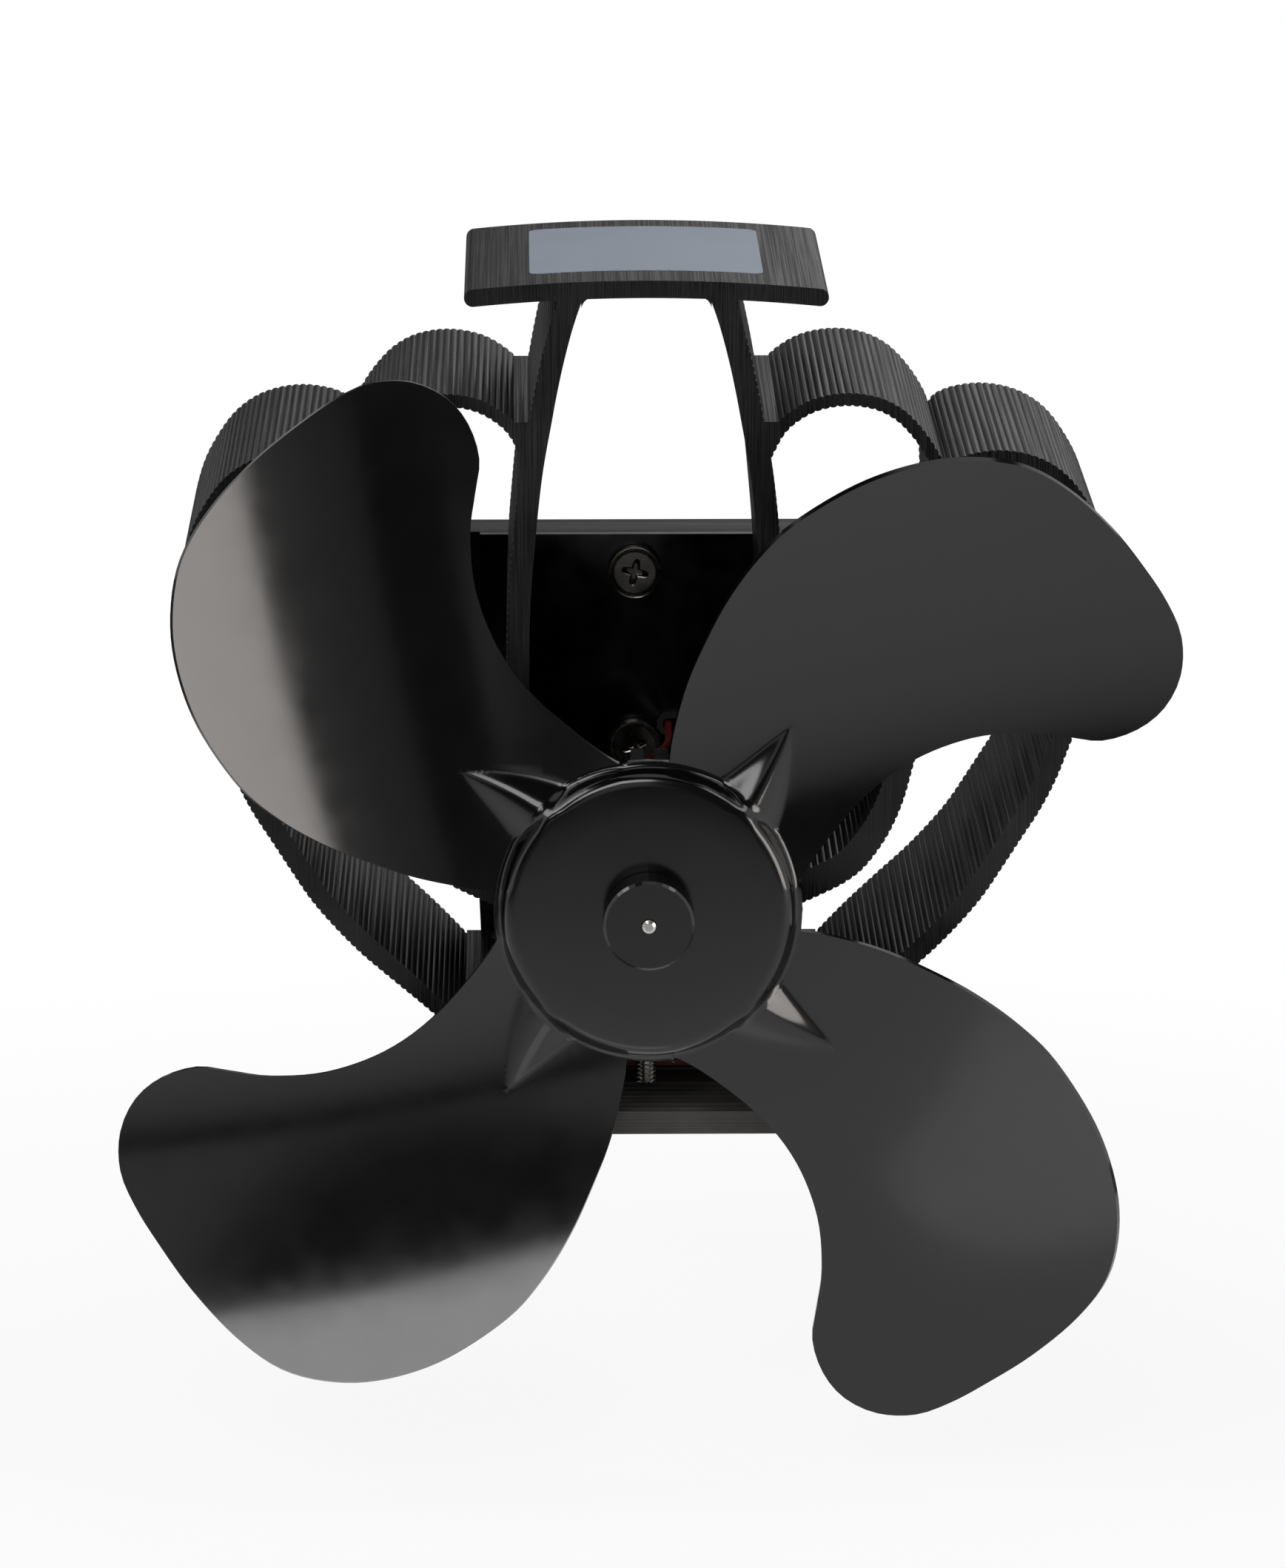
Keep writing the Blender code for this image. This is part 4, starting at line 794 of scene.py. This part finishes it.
# %% Cut out and press the blades
HOLE_RADIUS = 4.3 * MM
SHEET_GAUGE = 0.9 * MM
EDGE_ROLL = 0.3 * MM
blades = [quarter(blade_edge, i) for i in range(BLADE_COUNT)]
hub = circle(FLANGE_RADIUS, 144)
hole = circle(HOLE_RADIUS, 48)
spots, triangles = flat_union([hub] + blades, inner_points, [hole])
pressed = bmesh.new()
corners = [pressed.verts.new((p.x, sheet_y(p.x, p.y), p.y + AXIS_Z)) for p in spots]
for triangle in triangles:
    pressed.faces.new([corners[i] for i in triangle])
bmesh.ops.delete(pressed, geom=[v for v in corners if not v.link_faces], context="VERTS")
sheet = make_piece("pressed_fan_blades", pressed, BLADE_PAINT, "rotor",
                   ["fan_blades"], smooth=60)
if sum(face.normal.y for face in sheet.data.polygons) > 0:
    sheet.data.flip_normals()
gauge = sheet.modifiers.new("gauge", "SOLIDIFY")
gauge.thickness = SHEET_GAUGE
gauge.offset = -1
roll = sheet.modifiers.new("rolled edge", "BEVEL")
roll.width = EDGE_ROLL
roll.segments = 3
roll.limit_method = "ANGLE"
roll.angle_limit = math.radians(60)
roll.harden_normals = True
print("sheet", sheet.name, "front at", round(min(v.co.y for v in sheet.data.vertices) / MM, 2))

# %% [markdown]
# Screws
#
# A screw is a stack of rings: circles that grow, shrink and move along its axis, with the
# faces between them. The head's recess is a cross-shaped ring that is pushed down and drawn
# in. A thread is the same stack with close rings, each point of which moves in or out by
# where it is on the helix. The panel's screws have a flat face inside a raised rim, and the
# clamp's have plain round heads, so each kind has its own rings down the head.

# %% Rings for screws
AROUND = 32
ROWS_PER_TURN = 12


def ring_of(shape, points, height):
    return [shape.verts.new((p.x, p.y, height)) for p in points]


def bridge(shape, first, second):
    count = len(first)
    for i in range(count):
        j = (i + 1) % count
        shape.faces.new((first[i], first[j], second[j], second[i]))


def cross_outline(reach, half):
    """A cross with round ends, anticlockwise."""
    arm = [Vector((reach - half + half * math.cos(a), half * math.sin(a)))
           for a in [math.radians(d) for d in (-90, -60, -30, 0, 30, 60, 90)]]
    inner = [Vector((half * 1.25, half * 1.25))]
    return [q for i in range(4) for q in [Matrix.Rotation(i * math.pi / 2, 2) @ p
                                          for p in arm + inner]]


def thread_ring(radius, height, pitch, depth):
    """One ring of a threaded shank, its points let in by their place on the helix."""
    ring = []
    for i in range(AROUND):
        share = (height / pitch - i / AROUND) % 1
        inset = depth * min(1, abs(share - 0.5) * 2.1) ** 1.5
        angle = math.tau * i / AROUND
        ring.append(Vector((math.cos(angle), math.sin(angle))) * (radius - inset))
    return ring


print("a cross has", len(cross_outline(2 * MM, 0.4 * MM)), "points")

# %% One screw
PANEL_HEAD_SIZE, CLAMP_HEAD_SIZE = (4 * MM, 2.6 * MM), (2.8 * MM, 2 * MM)
PAN_HEAD = ((0.8, 1), (0.83, 0.96), (0.9, 0.88), (0.96, 0.74), (1, 0.5), (1, 0.06), (0.97, 0))
DISHED_HEAD = ((0.775, 0.77), (0.785, 0.79), (0.8, 0.79), (0.81, 0.77), (0.825, 0.72),
               (0.845, 0.76), (0.87, 0.86), (0.9, 0.92), (0.935, 0.965), (0.97, 0.99),
               (0.99, 0.985), (1, 0.95), (1, 0.06), (0.97, 0))


def screw(head, sides, shank, reach, pitch):
    """A screw along Z whose head's underside is at zero. head is its radius and height.

    sides are the rings down the head, as shares of its radius and height. The first is the
    edge of its flat face, which holds the cross. A head has twice as many sides as a shank.
    """
    radius, height = head
    flat_share, face_share = sides[0]
    face = height * face_share
    shape = bmesh.new()
    cross = cross_outline(radius * 0.5, radius * 0.1)
    rim = cross_outline(radius * 0.535, radius * 0.135)
    flat = circle(radius * flat_share, 2 * AROUND)
    spots, triangles = flat_union([flat], holes=[rim])
    top = [shape.verts.new((p.x, p.y, face)) for p in spots]
    for triangle in triangles:
        shape.faces.new([top[i] for i in triangle])
    last = [min(top, key=lambda v, p=p: (v.co.xy - p).length) for p in flat]
    rim_ring = [min(top, key=lambda v, p=p: (v.co.xy - p).length) for p in rim]
    cross_ring = ring_of(shape, cross, face - height * 0.03)
    bridge(shape, rim_ring, cross_ring)
    deep = ring_of(shape, [p * 0.62 for p in cross], face - height * 0.45)
    bridge(shape, cross_ring, deep)
    shape.faces.new(deep)
    for share, drop in sides[1:]:
        after = ring_of(shape, [p * share / flat_share for p in flat], height * drop)
        bridge(shape, last, after)
        last = after
    neck = ring_of(shape, circle(shank, AROUND), 0)
    for i in range(AROUND):
        j = (i + 1) % AROUND
        shape.faces.new((last[2 * i], last[2 * i + 1], last[2 * j], neck[j], neck[i]))
    last = neck
    rows = int(reach / pitch * ROWS_PER_TURN)
    for i in range(1, rows):
        at = -reach * i / rows
        fade = min(1, (rows - i) / 6, i / 6)
        after = ring_of(shape, thread_ring(shank, at, pitch, pitch * 0.7 * fade), at)
        bridge(shape, last, after)
        last = after
    tip = ring_of(shape, circle(shank * 0.8, AROUND), -reach)
    bridge(shape, last, tip)
    shape.faces.new(tip)
    return shape


print("heads from", len(PAN_HEAD), "and", len(DISHED_HEAD), "rings")

# %% Stand the four screws in their places


def stand_screw(name, shape, node, slot, place, turn, smooth):
    """Puts a screw where its CAD node is. turn carries its Z axis to the screw's own."""
    bmesh.ops.transform(shape, matrix=Matrix.Translation(place) @ turn, verts=shape.verts)
    make_piece(name, shape, FINISHES[slot], "stand", [node], smooth)


facing_front = Matrix.Rotation(math.pi / 2, 4, "X")
for node, twist in (("panel_screw_lower", 20), ("panel_screw_upper", -12)):
    low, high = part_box(node)
    head = PANEL_HEAD_SIZE[1]
    shape = screw(PANEL_HEAD_SIZE, DISHED_HEAD, 2 * MM, high.y - low.y - head, 0.7 * MM)
    place = Vector(((low.x + high.x) / 2, low.y + head, (low.z + high.z) / 2))
    turn = facing_front @ Matrix.Rotation(math.radians(twist), 4, "Z")
    stand_screw("recessed_" + node, shape, node, "black_zinc_screw", place, turn, 24)
for node, twist in (("clamp_screw_front", 8), ("clamp_screw_rear", 50)):
    low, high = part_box(node)
    head = CLAMP_HEAD_SIZE[1]
    shape = screw(CLAMP_HEAD_SIZE, PAN_HEAD, 1.56 * MM, high.z - low.z - head, 0.66 * MM)
    place = Vector(((low.x + high.x) / 2, (low.y + high.y) / 2, high.z - head))
    turn = Matrix.Rotation(math.radians(twist), 4, "Z")
    stand_screw("threaded_" + node, shape, node, "bright_steel", place, turn, 50)

# %% [markdown]
# The bare plate on the handle
#
# A thin blue-grey film lies on top of the handle. It is a rounded rectangle that follows the
# handle's slight crown, so it is drawn flat, lifted to the crown and given its thickness.

# %% The bare plate
FILM_LEFT, FILM_RIGHT = -17.2 * MM, 17.4 * MM
FILM_FRONT, FILM_BACK = -19.7 * MM, 22.1 * MM
FILM_CORNER = 1.8 * MM
FILM_GAP = 0.01 * MM
CORNER_STEPS = 8


def rounded_rectangle(left, right, front, back, radius):
    middles = ((right - radius, back - radius, 0), (left + radius, back - radius, 90),
               (left + radius, front + radius, 180), (right - radius, front + radius, 270))
    points = []
    for x, y, start in middles:
        for i in range(CORNER_STEPS + 1):
            angle = math.radians(start + 90 * i / CORNER_STEPS)
            points.append(Vector((x + radius * math.cos(angle), y + radius * math.sin(angle))))
    dense = []
    for a, b in zip(points, points[1:] + points[:1]):
        count = max(1, round((b - a).length / MM))
        dense += [a.lerp(b, i / count) for i in range(count)]
    return dense


film_edge = rounded_rectangle(FILM_LEFT, FILM_RIGHT, FILM_FRONT, FILM_BACK, FILM_CORNER)
grid = [Vector((x, y)) * MM for x in range(-15, 17, 2) for y in range(-17, 21, 4)]
spots, triangles = flat_union([film_edge], grid)
film = bmesh.new()
corners = [film.verts.new((p.x, p.y, AXIS_Z + handle_top(p.x) + FILM_GAP)) for p in spots]
for triangle in triangles:
    film.faces.new([corners[i] for i in triangle])
grown = bmesh.ops.extrude_face_region(film, geom=film.faces[:])
moved = [g for g in grown["geom"] if isinstance(g, bmesh.types.BMVert)]
bmesh.ops.translate(film, verts=moved, vec=(0, 0, FILM - 2 * FILM_GAP))
make_piece("bare_handle_plate", film, LABEL_FILM, "stand")

# %% [markdown]
# The floor
#
# The floor and background are white to the camera, and white in what the metal mirrors. To
# those rays the floor is mostly a plain white glow. Under the fan a tenth of its own surface
# still shows, which keeps the fan's shadow, and further out the glow is all there is.

# %% Floor


def flat_board(name, width, depth, centre, turn, finish):
    board = bmesh.new()
    bmesh.ops.create_grid(board, x_segments=1, y_segments=1, size=0.5)
    bmesh.ops.scale(board, vec=(width, depth, 1), verts=board.verts)
    mesh = bpy.data.meshes.new(name)
    board.to_mesh(mesh)
    board.free()
    mesh.materials.append(finish)
    made = bpy.data.objects.new(name, mesh)
    made.location = centre
    made.rotation_euler = turn
    bpy.context.scene.collection.objects.link(made)
    return made


upright, lying = (math.pi / 2, 0, 0), (0, 0, 0)


def clear_rays(tree):
    """One for camera, mirror and glass rays, and zero for the rays that carry light about."""
    rays = add(tree, "LightPath")
    shown = add(tree, "Math", {"operation": "MAXIMUM"}, _0=rays.outputs["Is Camera Ray"],
                _1=rays.outputs["Is Glossy Ray"])
    return add(tree, "Math", {"operation": "MAXIMUM"}, _0=shown.outputs[0],
               _1=rays.outputs["Is Transmission Ray"]).outputs[0]


def glow_over(tree, shader, share, strength=1.0):
    """Mixes a plain white glow over a surface, by a share, for clear rays only."""
    glow = add(tree, "Emission", Color=(1, 1, 1, 1), Strength=strength)
    shown = add(tree, "Math", {"operation": "MULTIPLY"}, _0=clear_rays(tree), _1=share)
    mixed = add(tree, "MixShader", _0=shown.outputs[0], _1=shader.outputs[0], _2=glow.outputs[0])
    tree.links.new(mixed.outputs[0], tree.nodes["Material Output"].inputs["Surface"])


floor_paint, tree, shader, place = new_material("white_floor")
shader.inputs["Base Color"].default_value = (0.8, 0.8, 0.8, 1)
shader.inputs["Roughness"].default_value = 0.9
far = add(tree, "VectorMath", {"operation": "LENGTH"}, _0=place).outputs["Value"]
glow_over(tree, shader, ramp(tree, far, 0.9, 1, 0.1, 0.3))
FLOOR_Z = -53 * MM
flat_board("floor", 12, 12, (0, 0, FLOOR_Z), lying, floor_paint)
print("floor at", round(FLOOR_Z / MM, 1), "mm")

# %% [markdown]
# Cards that only mirrors see
#
# The object is dark and satin, so almost all that the eye reads on it is what its skin
# mirrors. A photographer shapes that with cards, and so does this cell. Black cards behind
# the camera, overhead and low at the back keep the faces that look at them black. A grey one
# in the camera's wall lifts the dome and the blades that face it, and the two upper cards at
# the back lift the tops of the base, the petals and the handle. The card on the table fades
# from black to white, and that fade is the soft change of grey across the blades. Two small
# ones lift single corners: one low in front, and one beside the lamp on the right.

# %% Cards
TABLE_TURN = math.radians(-20)


def card(name, width, depth, centre, turn, axis="X", low=0.0, high=0.0, start=-1.0, end=1.0,
         strength=1.0):
    """A black card, hidden from the camera. Mirrors see it glow from low to high on an axis.

    A card below the fan, on the floor, casts no shadow and takes no part in diffuse light, so the
    white floor under it stays white.
    """
    finish, tree, shader, place = new_material(name + "_paint")
    shader.inputs["Base Color"].default_value = (0.01, 0.01, 0.01, 1)
    shader.inputs["Roughness"].default_value = 0.9
    across = add(tree, "SeparateXYZ", Vector=place).outputs[axis]
    glow_over(tree, shader, ramp(tree, across, low, high, start, end), strength)
    board = flat_board(name, width, depth, centre, turn, finish)
    board.visible_camera = False
    board.visible_shadow = board.visible_diffuse = centre[2] > 0


card("card_behind_camera", 5, 2.6, (0, -1.8, 1.24), upright, "X", 0.03, 0.03)
card("card_grey_middle", 0.43, 0.85, (-0.155, -1.75, 0.38), upright, "X", 0.6, 0.6)
card("card_ceiling", 5, 3.9, (0, 0.15, 2.4), lying)
card("card_back", 1.8, 0.97, (0.6, 0.9, 0.665), upright, "X", 0.04, 0.78, -0.74, -0.33)
card("card_back_left", 1.2, 0.97, (-0.9, 0.9, 0.665), upright, "X", 0.6, 0.6)
card("card_back_low", 3, 0.24, (0, 0.9, 0.06), upright, "X", 0.05, 0.05)
card("card_under_back", 3, 0.82, (0, 0.5, FLOOR_Z + MM), lying, "X", 0.06, 0.15, -0.1, 0.16)
card("card_on_table", 2.4, 1.5, (0, -0.98, FLOOR_Z + MM), (0, 0, TABLE_TURN), "Y",
     0.02, 0.92, 0.18, 0.72)
card("bounce_card", 0.05, 0.05, (-0.015, -0.115, FLOOR_Z + 2 * MM), lying, "X", 1, 1,
     strength=1.6)
card("card_beside_lamp", 0.4, 0.28, (0.55, -1.1, 0.08), upright, "X", 0, 0.7, -0.8, 1)

# %% [markdown]
# Lamps and world
#
# Five soft lamps light the fan. The wide one on the right makes the bright band on the left
# blade, and the one high on the left makes the band on the lower blade. The others fill in
# from above. The world is white to the camera and to mirrors, and lights the fan at half that
# strength.

# %% Lamps and world
AIM = Vector((0, 0, 0.04))


def soft_lamp(name, place, width, height, power):
    data = bpy.data.lights.new(name, "AREA")
    data.shape = "RECTANGLE"
    data.size, data.size_y = width, height
    data.energy = power
    lamp = bpy.data.objects.new(name, data)
    lamp.location = place
    lamp.rotation_euler = (AIM - Vector(place)).to_track_quat("-Z", "Y").to_euler()
    bpy.context.scene.collection.objects.link(lamp)
    return lamp


def on_sphere(azimuth, elevation, distance):
    """A place seen from the fan at an azimuth right of straight ahead and a height angle."""
    a, e = math.radians(azimuth), math.radians(elevation)
    return Vector((math.sin(a) * math.cos(e), -math.cos(a) * math.cos(e), math.sin(e))) * distance


warm_lamp = soft_lamp("lamp_right", on_sphere(52, 8, 1.3), 0.66, 0.7, 9.5)
warm_lamp.data.color = (1, 0.94, 0.9)
soft_lamp("lamp_high_left", on_sphere(-16, 36, 1.6), 0.9, 0.5, 8.5)
soft_lamp("lamp_upper_left", on_sphere(-75, 50, 1.4), 0.6, 0.4, 4)
soft_lamp("lamp_upper_right", on_sphere(70, 52, 1.4), 0.5, 0.3, 2)
soft_lamp("lamp_top", (0.2, 0.1, 1.5), 1.2, 1.2, 3.5)

world = bpy.data.worlds.new("white_room")
bpy.context.scene.world = world
world.use_nodes = True
room = world.node_tree
backdrop = room.nodes["Background"]
light = add(room, "Mix", {"data_type": "FLOAT"}, _0=clear_rays(room), _2=0.5, _3=1.0)
room.links.new(light.outputs[0], backdrop.inputs["Strength"])
backdrop.inputs["Color"].default_value = (1, 1, 1, 1)
bpy.context.scene.view_settings.view_transform = "Standard"
